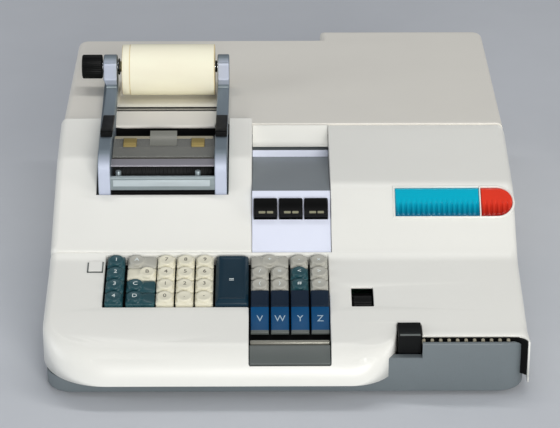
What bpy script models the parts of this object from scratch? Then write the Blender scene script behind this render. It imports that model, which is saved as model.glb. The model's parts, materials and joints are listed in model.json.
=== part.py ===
"""Programmable desktop printing calculator, built as separate closed parts.

Metres. +Z is up, +X is to the right of the person using it, the front faces -Y.
Depths are measured backwards from the front face of the base tray.
"""
import math

import bmesh
import bpy
from mathutils import Matrix, Vector

# Overall size
WIDTH = 0.480                 # over the covers
LIP_OVERHANG = 0.019          # the brow of the front cover stands this far before the tray
REAR_LEFT = 0.5745            # depth of the back of the rear cover, left of the step
REAR_RIGHT = 0.602            # and right of the step
FRONT_Y = (LIP_OVERHANG - REAR_RIGHT) / 2   # world Y of the tray's front face, centring the whole
GAP = 0.0005                  # clearance between pieces that touch in the real machine
COVER = 0.004                 # thickness of the cast covers
BROW_HEM = 0.0218             # height of the brow's lower edge, and of the hem left of it
SIDE_HEM = 0.0105             # height of the other covers' lower edges
SEAM = 0.322                  # depth where the front covers end and the rear cover starts
SIDES = 20                    # facets of a round piece

# Base tray
TRAY_HALF = WIDTH / 2 - COVER - 0.0003
TRAY_DEPTH = 0.565
TRAY_FLOOR = 0.0085
TRAY_UNDER = 0.0045
TRAY_WALL = 0.040             # height of the hidden walls
CORNER_WALL = 0.0205          # height of the wall under the rounded front left corner
CORNER_WALL_REACH = 0.075     # how far that lower wall runs from the corner
PANEL_TOP = 0.058             # top of the visible front panel at the right
PANEL_X = 0.1342              # where that panel starts
TRAY_CORNER = 0.027
FOOT_RADIUS = 0.012
FEET = ((-0.215, 0.025), (0.0, 0.025), (0.215, 0.025), (-0.215, 0.54), (0.215, 0.54))

# Deck, slope and top of the front covers
DECK_POINT = (0.140, 0.084)   # depth and height of the rear edge of the deck
DECK_TILT = math.radians(12.0)
BROW_RADIUS = 0.035
SLOPE_POINT = (0.146, 0.088)
SLOPE_TILT = math.radians(36.7)
SHOULDER_DEPTH = 0.207
RIGHT_SEAM_HEIGHT = 0.1525
CREASE_RADIUS = 0.020
SHOULDER_RADIUS = 0.030
FRONT_CORNER = 0.065          # plan radius of the front left corner
BROW_END = 0.110              # the brow stops here
BROW_CORNER = 0.053
NOTCH_DEPTH = 0.0355          # notch for the power switch
VENT_DEPTH = 0.017            # the deck stops here above the front panel
DECK_REAR = 0.1437

# Printer cover
PRINTER_COVER_RIGHT = -0.0332
PRINTER_FRONT = 0.1442
PRINTER_LIP_HEIGHT = 0.0880
PRINTER_SHOULDER = (0.256, 0.1433)
PRINTER_SEAM_HEIGHT = 0.161
POD_LEFT = -0.1960
POD_RIGHT = -0.0590
POD_FRONT = 0.2125
PLATE = 0.013                 # thickness of the printer's side plates
POD_INNER_LEFT = POD_LEFT + PLATE
POD_INNER_RIGHT = POD_RIGHT - PLATE

# Rear cover
REAR_HALF = 0.2385
REAR_WALL = 0.0025
REAR_TOP = 0.1535
REAR_STEP_X = 0.0465

INLET = (0.165, 0.195, 0.034, 0.056)   # left, right, bottom and top of the power inlet

# Card channel
CHANNEL_LEFT = -0.0327
CHANNEL_RIGHT = 0.0484

# Keyboard, in the plane of the deck
ROW_PITCH = 0.0193
ROW_FIRST = -0.0107
KEY_DEPTH = 0.0178
KEY_WIDTH = 0.0178
KEY_TOP = 0.0045
KEY_SHOULDER = 0.0010
KEY_UNDER = -0.0060
STEM_END = -0.0180
STEM = 0.005
BED_TOP = -0.0115
BED_UNDER = -0.0145
SIDE_COLUMN = -0.1710
WIDE_COLUMN = -0.1445
WIDE_WIDTH = 0.0290
NUMBER_COLUMNS = (-0.1199, -0.1003, -0.0807)
START_X = -0.0528
START_WIDTH = 0.0330
PROGRAM_COLUMNS = (-0.0248, -0.0048, 0.0152, 0.0352)
KEYS_LEFT = -0.1822           # sides of the keyboard opening
KEYS_SPLIT = -0.0358          # the opening runs forward into the brow from here
KEYS_RIGHT = 0.0451
LETTER_NAMES = ("v", "w", "y", "z")

# Paper roll and its spindle
SPINDLE = (0.420, 0.181)      # depth and height of the axis
SPINDLE_RADIUS = 0.005
ROLL_RADIUS = 0.0283
ROLL_BORE = 0.009
ROLL_SAG = ROLL_BORE - SPINDLE_RADIUS - 0.0003
ROLL_SPAN = (-0.1775, -0.0750)
DRUM_AXIS = (0.262, 0.1235)
DRUM_RADIUS = 0.016

# Controls
WHEEL_AXIS = (0.0763, 0.0540)
WHEEL_X = 0.078
WHEEL_RADIUS = 0.0155
SWITCH_AXIS = (0.022, 0.052)
ROCKER_COLUMNS = (-0.0190, 0.0072, 0.0334)
ROCKER_WIDTH = 0.0238
ROCKER_V = 0.0493             # distance of the rockers' axis up the slope
LAMP_V = (0.0385, 0.0715)
LAMP_LEFT = 0.1155
LAMP_SPLIT = 0.2033
LAMP_RIGHT = 0.2390

FINISHES = {                  # colour, roughness, metallic
    "shell": ((0.84, 0.84, 0.80), 0.45, 0.0),
    "base": ((0.16, 0.19, 0.21), 0.50, 0.0),
    "channel": ((0.62, 0.66, 0.78), 0.40, 0.0),
    "bed": ((0.20, 0.22, 0.24), 0.50, 0.2),
    "vent": ((0.66, 0.62, 0.52), 0.60, 0.0),
    "frame": ((0.24, 0.30, 0.36), 0.35, 0.6),
    "black": ((0.010, 0.011, 0.012), 0.40, 0.0),
    "paper": ((0.90, 0.84, 0.64), 0.80, 0.0),
    "window": ((0.70, 0.72, 0.70), 0.10, 0.0),
    "drum": ((0.30, 0.30, 0.31), 0.30, 0.9),
    "cyan": ((0.0, 0.34, 0.52), 0.20, 0.0),
    "red": ((0.66, 0.04, 0.02), 0.20, 0.0),
    "white": ((0.86, 0.86, 0.82), 0.40, 0.0),
    "motor": ((0.10, 0.11, 0.12), 0.45, 0.7),
    "boards": ((0.05, 0.20, 0.10), 0.60, 0.0),
    "teal": ((0.02, 0.08, 0.10), 0.35, 0.0),
    "grey_key": ((0.46, 0.46, 0.42), 0.40, 0.0),
    "cream_key": ((0.78, 0.74, 0.62), 0.40, 0.0),
    "navy_key": ((0.012, 0.045, 0.075), 0.35, 0.0),
    "blue_key": ((0.005, 0.070, 0.240), 0.35, 0.0),
}


# Points and outlines, as (depth, height) pairs unless said otherwise


def arc(centre, radius, start, end, steps):
    """Points on an arc, both ends included; angles in degrees from the first axis."""
    points = []
    for step in range(steps + 1):
        angle = math.radians(start + (end - start) * step / steps)
        points.append((centre[0] + radius * math.cos(angle), centre[1] + radius * math.sin(angle)))
    return points


def meet(point, tilt, other, other_tilt):
    """Where two sloping lines cross."""
    rise = math.tan(tilt)
    other_rise = math.tan(other_tilt)
    depth = (other[1] - point[1] + rise * point[0] - other_rise * other[0]) / (rise - other_rise)
    return (depth, point[1] + rise * (depth - point[0]))


def sunk(point, tilt, inset):
    """A point of a sloping line, moved square to the line into the cover."""
    return (point[0] + inset * math.sin(tilt), point[1] - inset * math.cos(tilt))


def fillet(before, corner, after, radius, steps):
    """The corner of a line replaced by a tangent arc."""
    corner = Vector(corner)
    first = (Vector(before) - corner).normalized()
    last = (Vector(after) - corner).normalized()
    half = first.angle(last) / 2
    centre = corner + (first + last).normalized() * radius / math.sin(half)
    start = corner + first * radius / math.tan(half) - centre
    end = corner + last * radius / math.tan(half) - centre
    turn = math.atan2(start.x * end.y - start.y * end.x, start.dot(end))
    begin = math.degrees(math.atan2(start.y, start.x))
    return arc(centre, radius, begin, begin + math.degrees(turn), steps)


def deck_height(depth):
    return DECK_POINT[1] - (DECK_POINT[0] - depth) * math.tan(DECK_TILT)


def cover_outline(inset):
    """Side outline of the front cover: brow, deck, crease, slope, shoulder and top."""
    brow_depth = BROW_RADIUS - LIP_OVERHANG
    centre = (brow_depth, deck_height(brow_depth) - BROW_RADIUS / math.cos(DECK_TILT))
    deck = sunk(DECK_POINT, DECK_TILT, inset)
    slope = sunk(SLOPE_POINT, SLOPE_TILT, inset)
    shoulder_height = SLOPE_POINT[1] + (SHOULDER_DEPTH - SLOPE_POINT[0]) * math.tan(SLOPE_TILT)
    top_tilt = math.atan2(RIGHT_SEAM_HEIGHT - shoulder_height, SEAM - SHOULDER_DEPTH)
    top = sunk((SEAM, RIGHT_SEAM_HEIGHT), top_tilt, inset)
    crease = meet(deck, DECK_TILT, slope, SLOPE_TILT)
    shoulder = meet(slope, SLOPE_TILT, top, top_tilt)
    rear_depth = SEAM + (0.01 if inset else -GAP)
    rear = (rear_depth, top[1] + (rear_depth - top[0]) * math.tan(top_tilt))
    hem = SIDE_HEM - (0.02 if inset else 0)
    brow = arc(centre, BROW_RADIUS - inset, 180, 90 + math.degrees(DECK_TILT), 7)
    outline = [(rear[0], hem), (brow[0][0], hem)]
    outline += [point for point in brow if point[1] > hem]
    outline += fillet(brow[-1], crease, shoulder, CREASE_RADIUS + inset, 3)
    outline += fillet(crease, shoulder, rear, SHOULDER_RADIUS - inset, 4)
    return outline + [rear]


# Solids


def loft(rings, closed=False):
    """Faces between successive rings of points, with the ends capped or joined up."""
    solid = bmesh.new()
    rows = [[solid.verts.new(point) for point in ring] for ring in rings]
    pairs = list(zip(rows, rows[1:]))
    if closed:
        pairs.append((rows[-1], rows[0]))
    else:
        solid.faces.new(rows[0])
        solid.faces.new(rows[-1])
    for row, following in pairs:
        for index, corner in enumerate(row):
            after = (index + 1) % len(row)
            solid.faces.new((corner, row[after], following[after], following[index]))
    bmesh.ops.recalc_face_normals(solid, faces=solid.faces)
    return solid


def add_object(name, solid, finish=None):
    mesh = bpy.data.meshes.new(name)
    solid.to_mesh(mesh)
    solid.free()
    piece = bpy.data.objects.new(name, mesh)
    bpy.context.scene.collection.objects.link(piece)
    if finish:
        mesh.materials.append(bpy.data.materials[finish])
    return piece


def prism_x(name, outline, left, right, finish=None):
    """An outline of depths and heights, run from left to right."""
    ends = [[(x, FRONT_Y + depth, height) for depth, height in outline] for x in (left, right)]
    return add_object(name, loft(ends), finish)


def prism_y(name, outline, front, rear, finish=None):
    """An outline of X positions and heights, run from front to rear."""
    ends = [[(x, FRONT_Y + depth, height) for x, height in outline] for depth in (front, rear)]
    return add_object(name, loft(ends), finish)


def prism_z(name, plan, bottom, top, finish=None):
    """A plan of X positions and depths, run upwards."""
    ends = [[(x, FRONT_Y + depth, height) for x, depth in plan] for height in (bottom, top)]
    return add_object(name, loft(ends), finish)


def block(left, right, front, rear, bottom, top, name="block", finish=None):
    plan = [(left, front), (right, front), (right, rear), (left, rear)]
    return prism_z(name, plan, bottom, top, finish)


def ring(radius, x, sides=SIDES):
    """A circle of points round the X axis."""
    return [(x, y, z) for y, z in arc((0, 0), radius, 0, 360 - 360 / sides, sides - 1)]


def turned(name, stations, axis, finish=None, closed=False, sides=SIDES):
    """A piece turned about the X axis from (x, radius) stations, set on its axis."""
    solid = loft([ring(radius, x, sides) for x, radius in stations], closed)
    piece = add_object(name, solid, finish)
    piece.location = (0, FRONT_Y + axis[0], axis[1])
    smooth(piece)
    return piece


def smooth(piece):
    piece.data.shade_smooth()
    piece.data.set_sharp_from_angle(angle=math.radians(35))


def combine(piece, tool, operation):
    """Apply one Boolean to a piece and remove the tool."""
    bpy.context.view_layer.update()
    modifier = piece.modifiers.new("combine", "BOOLEAN")
    modifier.operation = operation
    modifier.solver = "EXACT"
    modifier.object = tool
    evaluated = piece.evaluated_get(bpy.context.evaluated_depsgraph_get())
    mesh = bpy.data.meshes.new_from_object(evaluated)
    piece.modifiers.remove(modifier)
    piece.data = mesh
    mesh.name = piece.name
    bpy.data.objects.remove(tool)
    return piece


def cut(piece, *tools):
    for tool in tools:
        combine(piece, tool, "DIFFERENCE")
    return piece


def join(piece, *tools):
    for tool in tools:
        combine(piece, tool, "UNION")
    return piece


def set_origin(piece, point):
    """Move a piece's origin to a world point without moving the piece."""
    bpy.context.view_layer.update()
    offset = piece.matrix_world.inverted() @ Vector(point)
    piece.data.transform(Matrix.Translation(-offset))
    piece.location = Vector(point)
    return piece


def tilted_frame(name, point, tilt):
    """An empty whose X runs across the machine and whose Y runs up a sloping surface."""
    frame = bpy.data.objects.new(name, None)
    frame.location = (0, FRONT_Y + point[0], point[1])
    frame.rotation_euler = (tilt, 0, 0)
    bpy.context.scene.collection.objects.link(frame)
    return frame


def place(piece, frame, x, along, above=0.0):
    """Put a piece on a sloping surface."""
    piece.parent = frame
    piece.location = (x, along, above)
    return piece


def rounded_plan(left, right, front, rear, radius, steps=5):
    corners = ((right, rear, 0), (left, rear, 90), (left, front, 180), (right, front, 270))
    plan = []
    for x, depth, start in corners:
        centre = (x - math.copysign(radius, x - (left + right) / 2),
                  depth - math.copysign(radius, depth - (front + rear) / 2))
        plan += arc(centre, radius, start, start + 90, steps)
    return plan


# The housing


def make_base_tray():
    outer = rounded_plan(-TRAY_HALF, TRAY_HALF, 0, TRAY_DEPTH, TRAY_CORNER)
    inner = rounded_plan(-TRAY_HALF + COVER, TRAY_HALF - COVER, COVER, TRAY_DEPTH - COVER,
                         TRAY_CORNER - COVER)
    tray = prism_z("base_tray", outer, TRAY_UNDER, PANEL_TOP, "base")
    cut(tray,
        prism_z("hollow", inner, TRAY_FLOOR, 0.1),
        block(-0.3, BROW_END - GAP, -0.1, 0.7, TRAY_WALL, 0.1),
        block(-0.3, CORNER_WALL_REACH - TRAY_HALF, -0.1, CORNER_WALL_REACH, CORNER_WALL, 0.1),
        block(BROW_END - 2 * GAP, PANEL_X, -0.1, 0.7, TRAY_WALL, 0.1),
        block(PANEL_X - GAP, 0.3, VENT_DEPTH - 2 * GAP, 0.7, TRAY_WALL, 0.1))
    for x, depth in FEET:
        plan = arc((x, depth), FOOT_RADIUS, 0, 330, 11)
        join(tray, prism_z("foot", plan, 0, TRAY_FLOOR - 0.001))
    return tray


def main_cover_plan(inset):
    half = WIDTH / 2 - inset
    corner = (-WIDTH / 2 + FRONT_CORNER, FRONT_CORNER - LIP_OVERHANG)
    end = (BROW_END - BROW_CORNER, BROW_CORNER - LIP_OVERHANG)
    rear = SEAM + (0.02 if inset else -GAP)
    deck_rear = DECK_REAR + (0.003 if inset else 0)
    channel_side = CHANNEL_RIGHT + GAP + inset
    plan = [(-half, deck_rear)]
    plan += arc(corner, FRONT_CORNER - inset, 180, 270, 7)
    plan += arc(end, BROW_CORNER - inset, 270, 360, 6)
    plan += [(BROW_END - inset, NOTCH_DEPTH + inset), (PANEL_X + 0.0006 + inset, NOTCH_DEPTH + inset),
             (PANEL_X + 0.0006 + inset, VENT_DEPTH + inset), (half, VENT_DEPTH + inset),
             (half, rear), (channel_side, rear), (channel_side, deck_rear)]
    return plan


def lamp_outline(grow, left=LAMP_LEFT, right=LAMP_RIGHT):
    """Plan of the lamp bar in the slope's plane, with a half-round right end."""
    low = LAMP_V[0] - grow
    high = LAMP_V[1] + grow
    radius = (high - low) / 2
    outline = [(left - grow, high), (left - grow, low)]
    if right < LAMP_RIGHT:
        return outline + [(right, low), (right, high)]
    return outline + arc((right + grow - radius, (low + high) / 2), radius, -90, 90, 8)


def slab(name, outline, bottom, top, frame, finish=None):
    """A flat piece lying on a sloping surface."""
    ends = [[(x, along, height) for x, along in outline] for height in (bottom, top)]
    return place(add_object(name, loft(ends), finish), frame, 0, 0)


def make_main_cover(slope, deck):
    cover = prism_x("main_cover", cover_outline(0), -WIDTH, WIDTH, "shell")
    combine(cover, prism_z("plan", main_cover_plan(0), -0.1, 0.3), "INTERSECT")
    hollow = prism_x("hollow", cover_outline(COVER), -WIDTH, WIDTH)
    combine(hollow, prism_z("plan", main_cover_plan(COVER), -0.1, 0.3), "INTERSECT")
    inner_right = WIDTH / 2 - COVER - 0.0001
    cut(cover, hollow,
        block(BROW_END - BROW_CORNER / 2, inner_right, -0.0003, NOTCH_DEPTH + COVER + GAP, -0.1,
              TRAY_WALL + GAP),
        block(-WIDTH, inner_right - 0.001, -0.1, SEAM, -0.1, BROW_HEM),
        block(KEYS_LEFT, KEYS_SPLIT + 0.0005, 0.0612, 0.1415, 0.045, 0.2),
        block(KEYS_SPLIT, KEYS_RIGHT, -0.0130, 0.1415, 0.0335, 0.2),
        block(WHEEL_X - 0.011, WHEEL_X + 0.011, 0.0615, 0.0910, 0.045, 0.2),
        slab("pocket", lamp_outline(0.0004), -0.002, 0.05, slope),
        slab("pocket", indicator_outline(0.0004), -0.002, 0.05, deck))
    return cover


def indicator_outline(grow):
    left, right, low, high = -0.2002, -0.1839, -0.0265, -0.0087
    return [(left - grow, low - grow), (right + grow, low - grow),
            (right + grow, high + grow), (left - grow, high + grow)]


def printer_cover_outline(inset):
    slope_tilt = math.atan2(PRINTER_SHOULDER[1] - PRINTER_LIP_HEIGHT,
                            PRINTER_SHOULDER[0] - PRINTER_FRONT)
    top_tilt = math.atan2(PRINTER_SEAM_HEIGHT - PRINTER_SHOULDER[1], SEAM - PRINTER_SHOULDER[0])
    slope = sunk((PRINTER_FRONT, PRINTER_LIP_HEIGHT), slope_tilt, inset)
    top = sunk((SEAM, PRINTER_SEAM_HEIGHT), top_tilt, inset)
    shoulder = meet(slope, slope_tilt, top, top_tilt)
    front = PRINTER_FRONT + inset
    lip = (front, slope[1] + (front - slope[0]) * math.tan(slope_tilt))
    rear_depth = SEAM + (0.01 if inset else -GAP)
    rear = (rear_depth, top[1] + (rear_depth - top[0]) * math.tan(top_tilt))
    outline = [lip] + fillet(lip, shoulder, rear, 0.05 - inset, 4) + [rear]
    if not inset:
        return outline + [(rear[0], SIDE_HEM), (front, SIDE_HEM)]
    return outline + [(rear[0], 0.0), (front - 0.02, 0.0), (front - 0.02, 0.070), (front, 0.070)]


def make_printer_cover():
    left = -WIDTH / 2
    right = PRINTER_COVER_RIGHT
    cover = prism_x("printer_cover", printer_cover_outline(0), left, right, "shell")
    hollow = prism_x("hollow", printer_cover_outline(COVER), left + COVER, right - COVER)
    cut(cover, hollow,
        block(POD_LEFT - 0.0015, POD_RIGHT + 0.0015, POD_FRONT - 0.002, SEAM + 0.1, 0.06, 0.3))
    return cover


def rear_plan(inset):
    half = REAR_HALF - inset
    front = SEAM - (0.02 if inset else 0)
    corner = 0.012
    step = REAR_STEP_X + inset
    left_corner = (-REAR_HALF + corner, REAR_LEFT - corner)
    right_corner = (REAR_HALF - corner, REAR_RIGHT - corner)
    plan = [(-half, front), (half, front)]
    plan += arc(right_corner, corner - inset, 0, 90, 4)
    plan += [(step, REAR_RIGHT - inset), (step, REAR_LEFT - inset)]
    return plan + arc(left_corner, corner - inset, 90, 180, 4)


def make_rear_cover():
    cover = prism_z("rear_cover", rear_plan(0), SIDE_HEM, REAR_TOP, "shell")
    cut(cover, prism_z("hollow", rear_plan(REAR_WALL), 0, REAR_TOP - COVER))
    join(cover,
         block(POD_INNER_LEFT + 2 * GAP, POD_INNER_RIGHT - 2 * GAP, 0.309, SEAM + 0.006,
               REAR_TOP - COVER, REAR_TOP),
         block(ROLL_SPAN[0] - 0.010, ROLL_SPAN[1] + 0.008, SPINDLE[0] - 0.034, SPINDLE[0] + 0.034,
               0.1415, REAR_TOP - 0.001))
    well = turned("well", ((ROLL_SPAN[0] - 0.0045, 0.0318), (ROLL_SPAN[1] + 0.004, 0.0318)),
                  (SPINDLE[0], SPINDLE[1] - ROLL_SAG), sides=24)
    cut(cover, well)
    return add_power_inlet(cover)


def add_power_inlet(cover):
    """A recessed mains inlet with three blades in the back wall."""
    rear = REAR_RIGHT - REAR_WALL
    left, right, bottom, top = INLET
    join(cover, block(left, right, rear - 0.016, rear + 0.001, bottom, top))
    rim = 0.0025
    cut(cover, block(left + rim, right - rim, rear - 0.0135, rear + 0.01, bottom + rim, top - rim))
    middle = (left + right) / 2
    for x, height in ((middle - 0.007, bottom + 0.009), (middle, bottom + 0.013),
                      (middle + 0.007, bottom + 0.009)):
        join(cover, block(x - 0.001, x + 0.001, rear - 0.014, rear - 0.002, height - 0.0025,
                          height + 0.0025))
    return cover


def slope_point(along, above):
    """Depth and height of a point given in the slope's plane."""
    cosine = math.cos(SLOPE_TILT)
    sine = math.sin(SLOPE_TILT)
    return (SLOPE_POINT[0] + along * cosine - above * sine,
            SLOPE_POINT[1] + along * sine + above * cosine)


def make_card_channel():
    """Sloping panel, pocket for the rockers, card shelf, card slot and finger scoop."""
    scoop = arc((0.3005, 0.1565), 0.0200, 262, 300, 4)
    outline = [(DECK_REAR + GAP, 0.0820), slope_point(0.0005, -0.004), slope_point(0.0372, -0.004),
               slope_point(0.0372, -0.013), slope_point(0.0614, -0.013), slope_point(0.0614, -0.004),
               slope_point(0.0680, -0.004), (0.2090, 0.1262), (0.2975, 0.1250), (0.2975, 0.1330),
               (0.3150, 0.1330), (0.3150, 0.1362)]
    outline += scoop
    outline += [(SEAM - GAP, RIGHT_SEAM_HEIGHT - 0.0005), (SEAM - GAP, 0.1210), (0.2240, 0.1210),
                (0.2240, TRAY_FLOOR + 0.0003), (0.2200, TRAY_FLOOR + 0.0003), (0.2200, 0.1150),
                slope_point(0.0560, -0.018), slope_point(0.0, -0.012)]
    return prism_x("card_channel", outline, CHANNEL_LEFT, CHANNEL_RIGHT, "channel")


def deck_point(along, above):
    """Depth and height of a point given in the deck's plane."""
    cosine = math.cos(DECK_TILT)
    sine = math.sin(DECK_TILT)
    return (DECK_POINT[0] + along * cosine - above * sine,
            DECK_POINT[1] + along * sine + above * cosine)


def make_key_bed(keys):
    """Guide plate under the keys, with the sill in front and the cheeks of the decimal wheel."""
    plate = [deck_point(*point) for point in ((0.001, BED_TOP), (0.001, BED_UNDER),
                                              (-0.0860, BED_UNDER), (-0.0860, BED_TOP))]
    sill = [deck_point(*point) for point in (
        (-0.0200, BED_TOP), (-0.0200, BED_UNDER), (-0.1330, BED_UNDER), (-0.1390, -0.0080),
        (-0.1568, -0.0132), (-0.1568, -0.0092), (-0.1370, -0.0033), (-0.1345, -0.0033),
        (-0.1325, -0.0015), (-0.1295, -0.0015), (-0.1275, -0.0033), (-0.1275, BED_TOP))]
    bed = prism_x("key_bed", plate, KEYS_LEFT - 0.004, WHEEL_X + 0.017, "bed")
    cheek = [(0.0680, 0.0450), (0.0680, 0.0635), (0.0846, 0.0635), (0.0846, 0.0450)]
    join(bed, prism_x("sill", sill, KEYS_SPLIT + GAP, KEYS_RIGHT - GAP),
         prism_x("cheek", cheek, WHEEL_X - 0.0150, WHEEL_X - 0.0115),
         prism_x("cheek", cheek, WHEEL_X + 0.0115, WHEEL_X + 0.0150))
    for x, depth in ((-0.1815, 0.068), (-0.1815, 0.130), (0.033, 0.022), (0.086, 0.130)):
        post_top = deck_point((depth - DECK_POINT[0]) / math.cos(DECK_TILT), BED_UNDER)[1]
        join(bed, block(x - 0.004, x + 0.004, depth - 0.004, depth + 0.004,
                        TRAY_FLOOR + 0.0003, post_top + 0.001))
    wheel_gap = block(WHEEL_X - 0.0113, WHEEL_X + 0.0113, 0.0575, 0.0950, 0.05, 0.1)
    bores = turned("bore", ((WHEEL_X - 0.016, 0.0035), (WHEEL_X + 0.016, 0.0035)), WHEEL_AXIS,
                   sides=12)
    return cut(bed, wheel_gap, bores, *[stem_hole(x, along) for x, along in keys])


def stem_hole(x, along):
    size = STEM / 2 + 0.0005
    front = deck_point(along - size, BED_UNDER)
    rear = deck_point(along + size, BED_UNDER)
    return block(x - size, x + size, front[0] - 0.001, rear[0] + 0.001, front[1] - 0.003,
                 rear[1] + 0.006)


def make_vent_grille():
    teeth = 11
    pitch = 0.0083
    width = 0.0034
    left = 0.1340
    outline = [(left, 0.0490)]
    for tooth in range(teeth):
        start = left + tooth * pitch
        outline += [(start, 0.0565), (start + width, 0.0565)]
        if tooth < teeth - 1:
            outline += [(start + width, 0.0520), (start + pitch, 0.0520)]
    outline.append((left + (teeth - 1) * pitch + width, 0.0490))
    return prism_y("vent_grille", outline, 0.0085, VENT_DEPTH - GAP, "vent")


# The printer


def side_plate_outline():
    """Leg, front, top edge and the round head that carries the paper spindle."""
    head = arc(SPINDLE, 0.0135, 150, -20, 9)
    front = arc((POD_FRONT + 0.010, 0.150), 0.010, 180, 90, 4)
    outline = [(POD_FRONT, 0.1240)] + front
    outline += [(0.2400, 0.1640), (0.3900, 0.1640), (0.4000, 0.1700)]
    outline += head
    outline += [(0.4290, 0.1620), (0.4220, REAR_TOP + 0.0015), (SEAM - 0.001, REAR_TOP + 0.0015),
                (SEAM - 0.001, 0.1000), (0.2800, 0.1000), (0.2800, TRAY_FLOOR + 0.0003),
                (0.2400, TRAY_FLOOR + 0.0003), (0.2400, 0.1000), (POD_FRONT, 0.1000)]
    return outline


def make_printer_frame():
    """Two side plates joined by a floor, a front bar, a paper table and a guide plate."""
    outline = side_plate_outline()
    frame = prism_x("printer_frame", outline, POD_LEFT, POD_LEFT + PLATE, "frame")
    inner = (POD_INNER_LEFT - 0.002, POD_INNER_RIGHT + 0.002)
    table = [(0.2225, 0.1450), (0.2225, 0.1480), (0.2375, 0.1500), (0.2375, 0.1450)]
    join(frame,
         block(*inner, POD_FRONT + 0.001, SEAM - 0.002, 0.1002, 0.1040),
         block(*inner, POD_FRONT + 0.001, POD_FRONT + 0.009, 0.1235, 0.1425),
         prism_x("table", table, *inner),
         block(*inner, 0.2370, 0.2835, 0.1450, 0.1475),
         prism_x("plate", outline, POD_INNER_RIGHT, POD_RIGHT))
    return cut(frame,
               turned("bore", ((POD_LEFT - 0.01, SPINDLE_RADIUS + GAP),
                               (POD_RIGHT + 0.01, SPINDLE_RADIUS + GAP)), SPINDLE),
               turned("bore", ((POD_LEFT + 0.0025, 0.0045), (POD_RIGHT - 0.0025, 0.0045)),
                      DRUM_AXIS, sides=12))


def make_paper_knob():
    """Knob, spindle, the cone at the roll's left end and the collar at its right end."""
    knob = 0.0133
    edge = 0.0015
    left = POD_LEFT - 0.0267
    right = POD_LEFT - 0.0043
    cone = POD_INNER_LEFT + GAP
    collar = ROLL_SPAN[1] + GAP
    stations = [(left, knob - edge), (left + edge, knob), (right - edge, knob), (right, knob - edge),
                (right, SPINDLE_RADIUS), (cone, SPINDLE_RADIUS), (cone, 0.0082),
                (ROLL_SPAN[0] - 0.001, SPINDLE_RADIUS), (collar, SPINDLE_RADIUS), (collar, 0.0066),
                (collar + 0.002, 0.0066), (collar + 0.002, SPINDLE_RADIUS),
                (POD_RIGHT - 0.003, SPINDLE_RADIUS)]
    return turned("paper_knob", stations, SPINDLE, "black")


def make_paper_roll():
    left, right = ROLL_SPAN
    stations = ((left, ROLL_BORE), (left, ROLL_RADIUS), (right, ROLL_RADIUS), (right, ROLL_BORE))
    axis = (SPINDLE[0], SPINDLE[1] - ROLL_SAG)
    return turned("paper_roll", stations, axis, "paper", closed=True, sides=32)


def make_print_drum():
    left = POD_INNER_LEFT + 0.003
    right = POD_INNER_RIGHT - 0.003
    stations = ((POD_LEFT + 0.0035, 0.004), (left, 0.004), (left, DRUM_RADIUS), (right, DRUM_RADIUS),
                (right, 0.004), (POD_RIGHT - 0.0035, 0.004))
    return turned("print_drum", stations, DRUM_AXIS, "drum")


def make_release_lever(name, left):
    outline = [(0.2600, 0.1647), (0.2600, 0.1712), (0.2680, 0.1712), (0.2740, 0.1690), (0.3080, 0.1690),
               (0.3140, 0.1670), (0.3140, 0.1660), (0.3125, 0.1647)]
    lever = prism_x(name, outline, left + 0.0004, left + PLATE - 0.0004, "black")
    return set_origin(lever, (left + PLATE / 2, FRONT_Y + 0.3120, 0.1660))


def make_tear_window():
    outline = [(0.2385, 0.1502), (0.2385, 0.1526), (0.2820, 0.1600), (0.2830, 0.1580), (0.2820, 0.1574)]
    window = prism_x("tear_window", outline, POD_INNER_LEFT + 0.0006, POD_INNER_RIGHT - 0.0006, "window")
    return set_origin(window, ((POD_LEFT + POD_RIGHT) / 2, FRONT_Y + 0.2822, 0.1586))


# Controls


def make_lamps(slope):
    slab("lamp_ready", lamp_outline(0, right=LAMP_SPLIT - 0.0003), -0.0017, 0.0030, slope, "cyan")
    slab("lamp_error", lamp_outline(0, left=LAMP_SPLIT + 0.0003), -0.0017, 0.0030, slope, "red")


def make_indicator(deck):
    slab("indicator_window", indicator_outline(0), -0.0017, 0.0012, deck, "white")


def make_decimal_wheel():
    stations = ((-0.0145, 0.003), (-0.0095, 0.003), (-0.0095, WHEEL_RADIUS), (0.0095, WHEEL_RADIUS),
                (0.0095, 0.003), (0.0145, 0.003))
    wheel = turned("decimal_wheel", stations, WHEEL_AXIS, "black")
    wheel.location.x = WHEEL_X
    return wheel


def make_power_switch():
    outline = [(0.0090, 0.0425), (0.0090, 0.0620), (0.0105, 0.0630), (0.0335, 0.0642), (0.0335, 0.0425)]
    switch = prism_x("power_switch", outline, BROW_END + 0.0008, PANEL_X - 0.0004, "black")
    centre = (BROW_END + PANEL_X) / 2
    return set_origin(switch, (centre, FRONT_Y + SWITCH_AXIS[0], SWITCH_AXIS[1]))


def make_rockers(slope):
    """Three rockers in the pocket of the card channel, each on its own axis."""
    half = ROCKER_WIDTH / 2
    outline = ((-0.0108, -0.0040), (-0.0108, 0.0075), (-0.0020, 0.0060), (0.0108, 0.0075),
               (0.0108, -0.0040))
    for number, x in enumerate(ROCKER_COLUMNS, 1):
        ends = [[(side, along, above) for along, above in outline] for side in (-half, half)]
        rocker = add_object("rocker_%d" % number, loft(ends), "black")
        place(rocker, slope, x, ROCKER_V, -0.0050)


# Keys


def key_ring(width, depth, chamfer, height):
    """A rectangle with cut corners, at one height of a key."""
    half_x = width / 2
    half_y = depth / 2
    plan = ((half_x, half_y - chamfer), (half_x - chamfer, half_y), (chamfer - half_x, half_y),
            (-half_x, half_y - chamfer), (-half_x, chamfer - half_y), (chamfer - half_x, -half_y),
            (half_x - chamfer, -half_y), (half_x, chamfer - half_y))
    return [(x, y, height) for x, y in plan]


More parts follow.
